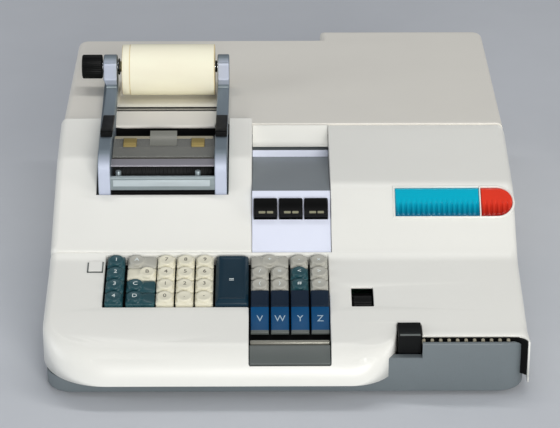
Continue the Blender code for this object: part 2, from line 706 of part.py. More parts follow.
def make_key(name, frame, x, along, width, depth, finish):
    """A capped stem: the stem slides in the guide plate."""
    rings = (key_ring(STEM, STEM, 0.0005, STEM_END), key_ring(STEM, STEM, 0.0005, KEY_UNDER),
             key_ring(width, depth, 0.0015, KEY_UNDER), key_ring(width, depth, 0.0015, KEY_SHOULDER),
             key_ring(width - 0.004, depth - 0.004, 0.0015, KEY_TOP))
    return place(add_object(name, loft(rings), finish), frame, x, along)


def make_letter_key(name, frame, x, along):
    """A tall key whose sloping front face carries a letter."""
    top_rear = ROW_FIRST - 3 * ROW_PITCH + KEY_DEPTH / 2 - along
    top_front = -0.0857 - along
    front = -0.1150 - along
    under = -0.0072
    profile = ((top_rear, KEY_TOP), (top_front, KEY_TOP - 0.0006), (front, -0.0049),
               (front, under), (top_rear, under))
    half = KEY_WIDTH / 2
    ends = [[(side, y, z) for y, z in profile] for side in (-half, half)]
    key = add_object(name, loft(ends), "blue_key")
    stem = [key_ring(STEM, STEM, 0.0005, height) for height in (STEM_END, under + 0.002)]
    return place(join(key, add_object("stem", loft(stem))), frame, x, along)


def row_centre(row):
    """Centre of a key row, the first row being the rearmost."""
    return ROW_FIRST - (row - 1) * ROW_PITCH


def key_layout():
    """Name, X, distance up the deck, width, depth and finish of every plain key."""
    keys = []
    wide_finishes = ("grey_key", "cream_key", "teal", "teal")
    for row in range(1, 5):
        along = row_centre(row)
        keys.append(("key_side_%d" % row, SIDE_COLUMN, along, KEY_WIDTH, KEY_DEPTH, "teal"))
        keys.append(("key_wide_%d" % row, WIDE_COLUMN, along, WIDE_WIDTH, KEY_DEPTH,
                     wide_finishes[row - 1]))
        for column, x in enumerate(NUMBER_COLUMNS, 1):
            keys.append(("key_number_%d_%d" % (row, column), x, along, KEY_WIDTH, KEY_DEPTH,
                         "cream_key"))
    start_depth = 3 * ROW_PITCH + KEY_DEPTH
    keys.append(("key_start", START_X, row_centre(2.5), START_WIDTH, start_depth, "navy_key"))
    pair = (PROGRAM_COLUMNS[0] + PROGRAM_COLUMNS[1]) / 2
    pair_width = PROGRAM_COLUMNS[1] - PROGRAM_COLUMNS[0] + KEY_WIDTH
    keys.append(("key_program_1_1", pair, row_centre(1), pair_width, KEY_DEPTH, "grey_key"))
    for row, columns in ((1, (3, 4)), (2, (1, 2, 3, 4)), (3, (1, 2, 3, 4))):
        for column in columns:
            finish = "teal" if row > 1 and column == 3 else "grey_key"
            keys.append(("key_program_%d_%d" % (row, column), PROGRAM_COLUMNS[column - 1],
                         row_centre(row), KEY_WIDTH, KEY_DEPTH, finish))
    return keys


def make_keyboard(deck):
    layout = key_layout()
    letters_along = row_centre(4.3)
    for name, x, along, width, depth, finish in layout:
        make_key(name, deck, x, along, width, depth, finish)
    for letter, x in zip(LETTER_NAMES, PROGRAM_COLUMNS):
        make_letter_key("key_%s" % letter, deck, x, letters_along)
    stems = [(x, along) for name, x, along, width, depth, finish in layout]
    stems += [(x, letters_along) for x in PROGRAM_COLUMNS]
    make_key_bed(stems)


# Pieces inside


def make_drive_motor():
    axis = (0.400, 0.048)
    stations = ((-0.1500, 0.0350), (-0.0560, 0.0350), (-0.0560, 0.0045), (-0.0440, 0.0045))
    motor = turned("drive_motor", stations, axis, "motor")
    return join(motor, block(-0.1400, -0.0660, axis[0] - 0.025, axis[0] + 0.025,
                             TRAY_FLOOR + 0.0003, axis[1] - 0.015))


def make_logic_boards():
    """Circuit boards standing across the machine on one back plane."""
    pitch = 0.040
    board = 0.003
    outline = [(0.2000, TRAY_FLOOR + 0.0003), (0.2000, 0.0140)]
    for number in range(9):
        start = 0.2100 + number * pitch
        outline += [(start, 0.0140), (start, 0.1150), (start + board, 0.1150), (start + board, 0.0140)]
    outline += [(0.5450, 0.0140), (0.5450, TRAY_FLOOR + 0.0003)]
    return prism_x("logic_boards", outline, 0.0600, 0.2250, "boards")


def clear_scene():
    for old in list(bpy.data.objects):
        bpy.data.objects.remove(old)


def make_materials():
    for name, (colour, roughness, metallic) in FINISHES.items():
        material = bpy.data.materials.new(name)
        material.use_nodes = True
        shader = material.node_tree.nodes["Principled BSDF"]
        shader.inputs["Base Color"].default_value = (*colour, 1.0)
        shader.inputs["Roughness"].default_value = roughness
        shader.inputs["Metallic"].default_value = metallic


def main():
    clear_scene()
    make_materials()
    deck = tilted_frame("deck_frame", DECK_POINT, DECK_TILT)
    slope = tilted_frame("slope_frame", SLOPE_POINT, SLOPE_TILT)
    make_base_tray()
    make_main_cover(slope, deck)
    make_printer_cover()
    make_rear_cover()
    make_card_channel()
    make_vent_grille()
    make_printer_frame()
    make_paper_knob()
    make_paper_roll()
    make_print_drum()
    make_release_lever("release_lever_left", POD_LEFT)
    make_release_lever("release_lever_right", POD_INNER_RIGHT)
    make_tear_window()
    make_lamps(slope)
    make_indicator(deck)
    make_decimal_wheel()
    make_power_switch()
    make_rockers(slope)
    make_keyboard(deck)
    make_drive_motor()
    make_logic_boards()


main()
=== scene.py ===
"""Looks of the desktop printing calculator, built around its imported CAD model.

Metres, +Z up. Depths run backwards from the front face of the base tray.
"""
from functools import partial
import json
import math

import bmesh
import bpy
import numpy as np
from mathutils import Matrix, Vector
from mathutils.geometry import delaunay_2d_cdt

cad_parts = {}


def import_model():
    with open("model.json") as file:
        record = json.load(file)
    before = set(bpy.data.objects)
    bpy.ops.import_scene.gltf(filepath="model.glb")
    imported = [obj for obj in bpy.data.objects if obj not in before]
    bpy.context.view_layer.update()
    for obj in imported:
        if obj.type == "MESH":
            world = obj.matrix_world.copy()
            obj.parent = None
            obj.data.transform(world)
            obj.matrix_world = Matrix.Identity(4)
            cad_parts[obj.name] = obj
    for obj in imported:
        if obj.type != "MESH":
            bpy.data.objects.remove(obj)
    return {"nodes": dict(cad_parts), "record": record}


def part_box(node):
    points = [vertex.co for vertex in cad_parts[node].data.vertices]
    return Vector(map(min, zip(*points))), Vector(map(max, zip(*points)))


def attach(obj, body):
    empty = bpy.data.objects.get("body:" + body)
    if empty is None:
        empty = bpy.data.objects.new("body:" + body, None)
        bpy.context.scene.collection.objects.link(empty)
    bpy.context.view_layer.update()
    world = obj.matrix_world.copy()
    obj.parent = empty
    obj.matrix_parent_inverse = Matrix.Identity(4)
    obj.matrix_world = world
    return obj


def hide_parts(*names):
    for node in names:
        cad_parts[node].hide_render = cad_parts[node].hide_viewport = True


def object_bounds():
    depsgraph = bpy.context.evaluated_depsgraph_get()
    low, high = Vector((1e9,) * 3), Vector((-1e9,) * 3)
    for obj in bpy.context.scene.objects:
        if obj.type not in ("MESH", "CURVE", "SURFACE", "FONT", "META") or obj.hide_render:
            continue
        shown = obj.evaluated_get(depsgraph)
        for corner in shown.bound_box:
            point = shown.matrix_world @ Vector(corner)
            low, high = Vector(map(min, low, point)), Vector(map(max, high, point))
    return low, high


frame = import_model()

CAD_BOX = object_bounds()
HOUSING = "housing"

# Places read from the frame
FRONT_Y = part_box("base_tray")[0].y
HALF = CAD_BOX[1].x
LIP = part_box("main_cover")[0].y - FRONT_Y
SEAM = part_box("main_cover")[1].y - FRONT_Y
SEAM_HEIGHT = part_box("main_cover")[1].z
CHANNEL_LEFT, CHANNEL_RIGHT = (corner.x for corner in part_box("card_channel"))
PRINTER_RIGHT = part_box("printer_cover")[1].x
PRINTER_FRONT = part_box("printer_cover")[0].y - FRONT_Y
PRINTER_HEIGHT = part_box("printer_cover")[1].z
POD_LEFT, POD_RIGHT = (corner.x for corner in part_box("printer_frame"))
REAR_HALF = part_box("rear_cover")[1].x
REAR_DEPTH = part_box("rear_cover")[1].y - FRONT_Y
REAR_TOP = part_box("rear_cover")[1].z
TRAY_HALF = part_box("base_tray")[1].x
TRAY_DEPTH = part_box("base_tray")[1].y - FRONT_Y
PANEL_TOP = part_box("base_tray")[1].z
VENT_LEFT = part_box("vent_grille")[0].x
VENT_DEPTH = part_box("vent_grille")[1].y - FRONT_Y + 0.0005

# The two sloping planes of the front cover, as (depth, height) and tilt
DECK = ((0.140, 0.084), math.radians(12.0))
SLOPE = ((0.146, 0.088), math.radians(36.7))
DECK_REAR = 0.1437
SHOULDER_DEPTH = 0.207
PLATE = 0.013
POD_INNER = (POD_LEFT + PLATE, POD_RIGHT - PLATE)
PRINTER_LIP = 0.0880
PRINTER_SHOULDER = (0.256, 0.1433)

# Openings of the front cover
KEYS_LEFT, KEYS_STEP, KEYS_RIGHT = -0.1822, -0.0358, 0.0451
KEYS_REAR, KEYS_MIDDLE, KEYS_FRONT = 0.1415, 0.0612, -0.0130
WHEEL_HOLE = (0.067, 0.089, 0.0615, 0.0910)

# The paper roll's well, the mains inlet (left, right, bottom, top) and the feet
WELL_RADIUS = 0.0318
WELL_LIP = 0.3625
INLET = (0.165, 0.195, 0.034, 0.056)
FEET = ((-0.215, 0.025), (0, 0.025), (0.215, 0.025), (-0.215, 0.54), (0.215, 0.54))

# Thicknesses of the covers' sheets
FRONT_SHEET = 0.0012
PRINTER_SHEET = 0.0022
REAR_SHEET = 0.0020

# Weights of x, y and z that put the parts of a cut mesh in a repeatable order
SORTING = (1.0, 7.31, 53.77)

# Heights where walls end: above the ground, or below the rim when less than 0
BROW_HEM = 0.0218
SIDE_HEM = 0.0105
PRINTER_FOOT = 0.072
POD_FOOT = 0.098
SEAM_LAP = -0.020
HEM = -0.0012

# Keys
STEM = 0.0025
KEY_CORNER = 0.0016
KEY_HEIGHT = 0.0105
KEY_WALL = 0.0042
DISH = 0.0006
LETTER_STEM_ROW = -0.0107 - 0.0193 * 3.3

# Radii of rolled edges, as (across, down)
SIDE_ROLL = (0.0085, 0.0100)
BROW_ROLL = (0.0277, 0.0284)
CRISP = (0.0009, 0.0009)
SOFT = (0.0020, 0.0020)
THIN = (0.0007, 0.0008)

# Rig
CAMERA_PLACE = (-0.0174, -2.2465, 1.1310)
CAMERA_TILT = math.radians(64.5)
CAMERA_ROLL = -0.00631
CAMERA_LENS = 147.0
LIGHT_TARGET = (0, 0, 0.05)
WORLD_COLOUR = (0.90, 0.93, 1.0, 1)
WORLD_STRENGTH = 0.23
# name: place, size, power, colour
LIGHTS = {"key": ((0.7, -3.45, 1.22), (1.8, 1.2), 79, (1.0, 0.985, 0.955)),
          "overhead": ((0.1, 0.58, 2.3), (2.4, 0.16), 13, (1.0, 0.99, 0.97)),
          "right_fill": ((2.4, -1.0, 1.0), (1.2, 1.2), 12, (1.0, 0.98, 0.94)),
          "left_fill": ((-2.4, -0.6, 0.8), (1.2, 1.2), 14, (0.96, 0.98, 1.0))}


# Materials


def linear(code):
    """A colour written as six hexadecimal digits, in linear light."""
    parts = [int(code[index:index + 2], 16) / 255 for index in (0, 2, 4)]
    return tuple(part / 12.92 if part <= 0.04045 else ((part + 0.055) / 1.055) ** 2.4
                 for part in parts)


def scaled(colour, factor):
    """A colour made darker or lighter."""
    return tuple(min(1.0, part * factor) for part in colour)


def node(tree, kind, **values):
    """A shader node with some inputs set."""
    made = tree.nodes.new(kind)
    for name, value in values.items():
        made.inputs[name.replace("_", " ")].default_value = value
    return made


def stretched_noise(tree, scale, detail=3.0, stretch=(1, 1, 1)):
    """Noise in the machine's own space; a stretch above 1 makes streaks finer along that axis."""
    place = tree.nodes.new("ShaderNodeTexCoord")
    mapping = node(tree, "ShaderNodeMapping", Scale=stretch)
    noise = node(tree, "ShaderNodeTexNoise", Scale=scale, Detail=detail)
    tree.links.new(place.outputs["Object"], mapping.inputs["Vector"])
    tree.links.new(mapping.outputs["Vector"], noise.inputs["Vector"])
    return noise.outputs["Fac"]


def ramp(tree, source, low, high, start, end):
    """Blend from one value or colour to another while the source runs from start to end."""
    made = tree.nodes.new("ShaderNodeValToRGB")
    made.color_ramp.elements[0].position = start
    made.color_ramp.elements[1].position = end
    made.color_ramp.elements[0].color = (*low, 1) if isinstance(low, tuple) else (low, low, low, 1)
    made.color_ramp.elements[1].color = (*high, 1) if isinstance(high, tuple) else (high, high, high, 1)
    tree.links.new(source, made.inputs["Fac"])
    return made.outputs["Color"]


def blend(tree, factor, low, high, amount=1.0):
    """Mix two colours by a factor, which is first multiplied by an amount."""
    mix = tree.nodes.new("ShaderNodeMix")
    mix.data_type = "RGBA"
    strength = tree.nodes.new("ShaderNodeMath")
    strength.operation = "MULTIPLY"
    strength.inputs[1].default_value = amount
    tree.links.new(factor, strength.inputs[0])
    tree.links.new(strength.outputs[0], mix.inputs["Factor"])
    for socket, value in (("A", low), ("B", high)):
        if isinstance(value, tuple):
            mix.inputs[socket].default_value = (*value, 1)
        else:
            tree.links.new(value, mix.inputs[socket])
    return mix.outputs["Result"]


def axis_value(tree, output, axis):
    """One axis of a texture coordinate, moved from -1...1 to 0...1."""
    place = tree.nodes.new("ShaderNodeTexCoord")
    split = tree.nodes.new("ShaderNodeSeparateXYZ")
    half = node(tree, "ShaderNodeMath")
    half.operation = "MULTIPLY_ADD"
    half.inputs[1].default_value = 0.5
    half.inputs[2].default_value = 0.5
    tree.links.new(place.outputs[output], split.inputs[0])
    tree.links.new(split.outputs[axis], half.inputs[0])
    return half.outputs[0]


def height_ramp(tree, low, high):
    """1 below the low height, falling to 0 at the high one."""
    place = tree.nodes.new("ShaderNodeTexCoord")
    split = tree.nodes.new("ShaderNodeSeparateXYZ")
    fall = node(tree, "ShaderNodeMapRange", From_Min=low, From_Max=high, To_Min=1.0, To_Max=0.0)
    tree.links.new(place.outputs["Object"], split.inputs[0])
    tree.links.new(split.outputs[2], fall.inputs["Value"])
    return fall.outputs["Result"]


MATERIALS = {}


def finish(name, code, roughness, metallic=0.0, mottle=0.05, grain=1400.0, bump=0.06,
           stretch=(1, 1, 1), wear=None, specks=0.0, front=None, low=None, **sockets):
    """A finish with slow colour drift, fine grain, uneven gloss and, on edges, wear.

    front is a painted highlight: the lighter colour put on faces turned to the front, where the front light
    falls, as (code, start, end).
    low is a painted shade: the darker colour near the lower edge of a lens, as (code, lowest height, height
    where it ends).
    """
    made = bpy.data.materials.new(name)
    made.use_nodes = True
    tree = made.node_tree
    shader = tree.nodes["Principled BSDF"]
    colour = linear(code)
    drift = stretched_noise(tree, 18.0, 4.0, stretch)
    base = ramp(tree, drift, scaled(colour, 1 - mottle), scaled(colour, 1 + mottle), 0.3, 0.7)
    if specks:
        dots = ramp(tree, stretched_noise(tree, 1100.0, 1.0), 0.0, 1.0, 0.66, 0.72)
        base = blend(tree, dots, base, scaled(colour, 0.45), specks)
    # Painted highlight: faces turned to the front take a lighter colour, standing in for the front light on
    # them.
    if front:
        code, start, end = front
        front_highlight_share = axis_value(tree, "Normal", 1)
        base = blend(tree, ramp(tree, front_highlight_share, 1.0, 0.0, 0.5 - end / 2, 0.5 - start / 2), base, linear(code))
    # Painted shade: the colour darkens towards the lowest heights given.
    if low:
        code, start, end = low
        base = blend(tree, height_ramp(tree, start, end), base, linear(code))
    if wear:
        edge = tree.nodes.new("ShaderNodeNewGeometry").outputs["Pointiness"]
        base = blend(tree, ramp(tree, edge, 0.0, 1.0, 0.53, 0.62), base, linear(wear), 0.5)
    tree.links.new(base, shader.inputs["Base Color"])
    gloss = ramp(tree, stretched_noise(tree, 70.0, 3.0, stretch), max(0.02, roughness - 0.03),
                 min(1.0, roughness + 0.03), 0.2, 0.8)
    tree.links.new(gloss, shader.inputs["Roughness"])
    relief = node(tree, "ShaderNodeBump", Strength=bump, Distance=0.0002)
    tree.links.new(stretched_noise(tree, grain, 2.0, stretch), relief.inputs["Height"])
    tree.links.new(relief.outputs["Normal"], shader.inputs["Normal"])
    shader.inputs["Metallic"].default_value = metallic
    for socket, value in sockets.items():
        shader.inputs[socket.replace("_", " ")].default_value = value
    MATERIALS[name] = made


def make_materials():
    """Every finish of the machine; the lenses carry painted shade, darker towards their lower edge."""
    # The lavender finish is a painted highlight: the channel's grey paint made near white for faces that
    # slope towards the light.
    for name, code, roughness, mottle in (("enamel", "eeeee8", 0.33, 0.008),
                                          ("enamel_rear", "eeebe2", 0.46, 0.010),
                                          ("lavender", "e9eeff", 0.34, 0.008)):
        finish(name, code, roughness, mottle=mottle, grain=900.0, bump=0.03)
    finish("base_enamel", "6f787c", 0.46, mottle=0.03, grain=1000.0, bump=0.16, specks=0.25)
    finish("shelf_grey", "848b90", 0.48, mottle=0.03, bump=0.10, specks=0.15)
    finish("sill_grey", "5a605e", 0.44, mottle=0.04, bump=0.12, specks=0.20)
    finish("vent_beige", "a09a86", 0.60, mottle=0.06)
    # void_black is painted shade: a flat black for gaps, slots, wells and floors inside the machine, where
    # only shade is seen.
    finish("void_black", "060707", 0.80, mottle=0.10, Specular_IOR_Level=0.2)
    finish("black_plastic", "050606", 0.46, mottle=0.10, grain=1600.0, bump=0.08, wear="141617",
           Specular_IOR_Level=0.14)
    finish("rubber", "1c1d1d", 0.80, mottle=0.10, grain=700.0, bump=0.35)
    # The arms' metal carries a painted highlight: lighter lavender on faces turned to the front.
    finish("arm_metal", "75828c", 0.50, metallic=0.15, mottle=0.04, grain=240.0, bump=0.04,
           stretch=(9, 1, 1), front=("c9d1e4", 0.40, 1.15))
    finish("lilac_metal", "9d9ba3", 0.36, metallic=0.4, mottle=0.05, stretch=(1, 8, 1), bump=0.04)
    finish("guide_plate", "66635a", 0.40, metallic=0.35, mottle=0.08, stretch=(1, 8, 1), bump=0.05)
    finish("name_metal", "c3ced3", 0.40, metallic=0.3, mottle=0.10, stretch=(1, 6, 6), bump=0.03)
    finish("brushed_steel", "9aa6aa", 0.40, metallic=0.6, mottle=0.10, grain=260.0, bump=0.03,
           stretch=(1, 6, 6))
    finish("dull_bar", "8d8c82", 0.38, metallic=0.5, mottle=0.06, grain=260.0, bump=0.03, stretch=(1, 6, 6))
    finish("chrome", "dfe2e6", 0.12, metallic=1.0, mottle=0.03, bump=0.01)
    finish("brass", "8f7d45", 0.50, metallic=0.3, mottle=0.12, grain=600.0, bump=0.08)
    finish("paper", "fffae2", 0.90, mottle=0.02, grain=800.0, bump=0.10, stretch=(1, 3, 3))
    finish("paper_edge", "ead9ab", 0.90, mottle=0.10, grain=900.0, bump=0.30)
    finish("window", "8c8d88", 0.14, mottle=0.03, bump=0.02, Alpha=0.55)
    finish("window_tab", "8f9088", 0.30, mottle=0.03, bump=0.03, Alpha=0.62)
    foot = on_plane(SLOPE, 0, extent("lamp_ready", SLOPE)[0][1]).z
    # The lenses' low colours are painted shade, for the shadow at the bottom of each recessed lens.
    for name, code, low in (("lens_cyan", "00acc8", ("006a8a", foot + 0.0015, foot + 0.0110)),
                            ("lens_red", "dd3a26", ("9a1408", foot + 0.0005, foot + 0.0100))):
        finish(name, code, 0.16, mottle=0.03, grain=300.0, bump=0.02, low=low, Specular_IOR_Level=0.30)
    finish("opal", "eeeee8", 0.30, mottle=0.02, bump=0.03)
    finish("type_drum", "2c2d2e", 0.50, metallic=0.5, mottle=0.10)
    finish("key_teal", "214a52", 0.34, mottle=0.08, bump=0.08, wear="4d777c", Specular_IOR_Level=0.35)
    finish("key_grey", "b3b2a8", 0.38, mottle=0.04, bump=0.08)
    finish("key_cream", "e6e2cd", 0.38, mottle=0.03, bump=0.08)
    finish("key_navy", "112e3d", 0.34, mottle=0.08, bump=0.08, wear="3d5566", Specular_IOR_Level=0.2)
    # The letter keys' darker blue is painted shade for their sloping top, a copy of the front face's blue.
    for name, code in (("key_blue_shaded", "0a2034"), ("key_blue", "004572")):
        finish(name, code, 0.42, mottle=0.08, bump=0.08, Specular_IOR_Level=0.2)
    for name, code, roughness, mottle in (("print_white", "e2ecec", 0.50, 0.02),
                                          ("print_pale", "9db4c2", 0.50, 0.04),
                                          ("print_dark", "5b584f", 0.50, 0.05),
                                          ("print_label", "8f8d74", 0.55, 0.05)):
        finish(name, code, roughness, mottle=mottle)
    finish("motor_enamel", "34383a", 0.45, metallic=0.7, mottle=0.08)
    finish("board_resin", "2d6147", 0.60, mottle=0.12)


# Geometry


def world(x, depth, height):
    return Vector((x, FRONT_Y + depth, height))


def on_plane(plane, x, along, above=0.0):
    """World point given in a sloping plane."""
    (depth, height), tilt = plane
    return world(x, depth + along * math.cos(tilt) - above * math.sin(tilt),
                 height + along * math.sin(tilt) + above * math.cos(tilt))


def plane_matrix(plane):
    (depth, height), tilt = plane
    return Matrix.Translation(world(0, depth, height)) @ Matrix.Rotation(tilt, 4, "X")


def extent(name, plane):
    """Lowest and highest corner of a CAD node, in a sloping plane's own axes."""
    inverse = plane_matrix(plane).inverted()
    points = np.array([inverse @ vertex.co for vertex in frame["nodes"][name].data.vertices])
    return points.min(0), points.max(0)


def side_view(plane, along, above):
    """(depth, height) of a point given in a sloping plane."""
    point = on_plane(plane, 0, along, above)
    return (point.y - FRONT_Y, point.z)


def box_depths(name):
    """Lowest and highest corner of a CAD node, and its front and rear depth."""
    low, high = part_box(name)
    return low, high, low.y - FRONT_Y, high.y - FRONT_Y


def axle(name):
    """Axis (depth, height) and radius of a CAD node that turns about a line along X."""
    low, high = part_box(name)
    return ((low.y + high.y) / 2 - FRONT_Y, (low.z + high.z) / 2), (high.z - low.z) / 2


def add_piece(name, source, materials, body=HOUSING, replaces=(), angle=40):
    """Make a piece from a bmesh, smooth it and let it ride on its body."""
    mesh = bpy.data.meshes.new(name)
    source.to_mesh(mesh)
    source.free()
    piece = bpy.data.objects.new(name, mesh)
    bpy.context.scene.collection.objects.link(piece)
    for material in [materials] if isinstance(materials, str) else materials:
        mesh.materials.append(MATERIALS[material])
    mesh.shade_smooth()
    mesh.set_sharp_from_angle(angle=math.radians(angle))
    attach(piece, body)
    if replaces:
        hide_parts(*replaces)
    return piece


def round_off(piece, width, segments=3, angle=32):
    """Bevel every edge sharper than an angle."""
    bevel = piece.modifiers.new("bevel", "BEVEL")
    bevel.width = width
    bevel.segments = segments
    bevel.limit_method = "ANGLE"
    bevel.angle_limit = math.radians(angle)
    bevel.harden_normals = True


def loft(rings, closed=False, cap=True, mesh=None, slot=0):
    """Faces between rings of points; rings of one point are allowed at the ends."""
    solid = mesh or bmesh.new()
    rows = [[solid.verts.new(point) for point in ring] for ring in rings]
    pairs = list(zip(rows, rows[1:])) + ([(rows[-1], rows[0])] if closed else [])
    faces = []
    for row, following in pairs:
        count = max(len(row), len(following))
        for index in range(count):
            after = (index + 1) % count
            if len(row) == 1:
                corners = (row[0], following[after], following[index])
            elif len(following) == 1:
                corners = (row[index], row[after], following[0])
            else:
                corners = (row[index], row[after], following[after], following[index])
            faces.append(solid.faces.new(corners))
    if cap and not closed:
        faces += [solid.faces.new(row) for row in (rows[0], rows[-1]) if len(row) > 2]
    for face in faces:
        face.material_index = slot
    bmesh.ops.recalc_face_normals(solid, faces=faces)
    return solid


def prism(outline, low, high, axis="x", mesh=None):
    """An outline run along an axis: (depth, height) along x, or (x, depth) along z."""
    place = {"x": lambda a, b, c: world(c, a, b), "z": lambda a, b, c: world(a, b, c)}[axis]
    return loft([[place(a, b, end) for a, b in outline] for end in (low, high)], mesh=mesh)


def slab(plane, outline, low, high, mesh=None, slot=0):
    """A flat outline (x, along) between two heights over a sloping plane."""
    return loft([[on_plane(plane, x, along, end) for x, along in outline] for end in (low, high)],
                mesh=mesh, slot=slot)


def box_outline(left, right, low, high):
    return [(left, low), (right, low), (right, high), (left, high)]


def block(left, right, front, rear, bottom, top, mesh=None):
    return prism(box_outline(left, right, front, rear), bottom, top, "z", mesh)


def arc(centre, radius, start, end, steps):
    """Points on an arc, both ends included, angles in degrees."""
    angles = [math.radians(start + (end - start) * step / steps) for step in range(steps + 1)]
    return [(centre[0] + radius * math.cos(a), centre[1] + radius * math.sin(a)) for a in angles]


def fillet(before, corner, after, radius, steps):
    """A corner replaced by a tangent arc."""
    corner = Vector(corner)
    first = (Vector(before) - corner).normalized()
    last = (Vector(after) - corner).normalized()
    half = first.angle(last) / 2
    centre = corner + (first + last).normalized() * radius / math.sin(half)
    start = corner + first * radius / math.tan(half) - centre
    end = corner + last * radius / math.tan(half) - centre
    turn = math.degrees(math.atan2(start.x * end.y - start.y * end.x, start.dot(end)))
    begin = math.degrees(math.atan2(start.y, start.x))
    return arc(centre, radius, begin, begin + turn, steps)


def rounded(outline, radius, steps=4):
    """A closed outline with every corner rounded."""
    points = []
    for index, corner in enumerate(outline):
        points += fillet(outline[index - 1], corner, outline[(index + 1) % len(outline)], radius, steps)
    return points


def turned(stations, axis, sides, mesh=None, closed=False):
    """A piece turned about a line along X, from (x, radius) stations."""
    return fluted(stations, axis, sides, mesh=mesh, closed=closed)


def fluted(stations, axis, sides, flutes=0, cut=0.0, smallest=0.0, mesh=None, closed=False):
    """A turned piece with flutes in every radius above the smallest one."""
    rings = []
    for x, radius in stations:
        ring = []
        for side in range(sides):
            angle = 2 * math.pi * side / sides
            depth = cut * (0.5 + 0.5 * math.cos(flutes * angle)) if radius > smallest else 0.0
            ring.append(world(x, axis[0] + (radius - depth) * math.cos(angle),
                              axis[1] + (radius - depth) * math.sin(angle)))
        rings.append(ring)
    return loft(rings, closed=closed, mesh=mesh)


def upright(x, depth, stations, sides, mesh):
    """A piece turned about an upright line, from (radius, height) stations, added to a mesh."""
    turn = 360 - 360 / sides
    loft([[world(x + px, depth + py, z) for px, py in arc((0, 0), radius, 0, turn, sides - 1)]
          for radius, z in stations], mesh=mesh)


# Covers: sheets whose rims are rolled over


def straight(start, end, roll=CRISP, end_roll=None, spacing=0.010):
    """Rim stations along a line: x, depth, and the roll's width and drop."""
    end_roll = end_roll or roll
    count = max(1, round((Vector(end) - Vector(start)).length / spacing))
    shares = [step / count for step in range(count + 1)]
    return [tuple(a + (b - a) * share for a, b in zip((*start, *roll), (*end, *end_roll)))
            for share in shares]


def lines(points, roll=CRISP):
    """Rim stations along a chain of lines."""
    return [station for start, end in zip(points, points[1:]) for station in straight(start, end, roll)]


def bend(centre, radius, start, end, roll=CRISP, end_roll=None, steps=14):
    """Rim stations round a plan corner; the roll eases from one size to the other."""
    end_roll = end_roll or roll
    stations = []
    for step, point in enumerate(arc(centre, radius, start, end, steps)):
        share = step / steps
        ease = share * share * (3 - 2 * share)
        stations.append((*point, *(a + (b - a) * ease for a, b in zip(roll, end_roll))))
    return stations


def rim(foot, *runs):
    """One open stretch of rim, joined from runs of stations, with the place where its wall ends."""
    stations = []
    for run in runs:
        for station in run:
            if not stations or math.dist(station[:2], stations[-1][:2]) > 1e-6:
                stations.append(station)
    return {"stations": np.array(stations), "foot": foot}


def hole(left, right, front, rear, foot):
    """A crisp rectangular hole's rim, with slightly rounded corners."""
    outline = rounded([(left, rear), (right, rear), (right, front), (left, front)], 0.0012, 3)
    return outline_hole(outline, foot, CRISP)


def outline_hole(outline, foot, roll):
    """A hole's rim, from a clockwise outline of (x, depth) points."""
    stations = []
    for start, end in zip(outline, outline[1:] + outline[:1]):
        stations += straight(start, end, roll)[:-1]
    return rim(foot, stations, [(*outline[0], *roll)]) | {"loop": True}


def nearest(points, stations):
    """Distance from each point to a rim, and the rim's roll there."""
    best = np.full(len(points), 1e9)
    rolls = np.zeros((len(points), 2))
    for a, b in zip(stations[:-1], stations[1:]):
        along = b[:2] - a[:2]
        share = np.clip((points - a[:2]) @ along / max(along @ along, 1e-14), 0, 1)
        distance = np.linalg.norm(points - (a[:2] + share[:, None] * along), axis=1)
        closer = distance < best
        best[closer] = distance[closer]
        rolls[closer] = a[2:] + share[closer, None] * (b[2:] - a[2:])
    return best, rolls


def rolled_drop(points, rims):
    """How far each point lies under the unrolled surface."""
    drop = np.zeros(len(points))
    for each in rims:
        distance, rolls = nearest(points, each["stations"])
        reach = np.clip(1 - distance / np.maximum(rolls[:, 0], 1e-9), 0, 1)
        drop = np.maximum(drop, rolls[:, 1] * (1 - np.sqrt(1 - reach * reach)))
    return drop


def offset_line(stations, share, is_loop):
    """The rim moved inwards by a share of each station's roll width."""
    points = stations[:, :2]
    edges = np.diff(points, axis=0)
    edges /= np.linalg.norm(edges, axis=1)[:, None]
    normals = np.stack([-edges[:, 1], edges[:, 0]], axis=1)
    before = np.vstack([normals[-1] if is_loop else normals[0], normals])
    after = np.vstack([normals, normals[0] if is_loop else normals[-1]])
    miter = (before + after) / (1 + (before * after).sum(1))[:, None]
    return points + miter * (stations[:, 2] * share)[:, None]


def inside(points, loops):
    """Even-odd test of points against closed loops."""
    odd = np.zeros(len(points), bool)
    for loop in loops:
        for a, b in zip(loop, np.roll(loop, -1, axis=0)):
            if a[1] != b[1]:
                spans = (a[1] > points[:, 1]) != (b[1] > points[:, 1])
                crossing = a[0] + (points[:, 1] - a[1]) * (b[0] - a[0]) / (b[1] - a[1])
                odd ^= spans & (points[:, 0] < crossing)
    return odd


# Lines across a roll that is wider than the first number
ROLL_LINES = ((0.02, 9), (0.004, 6), (0.0, 3))


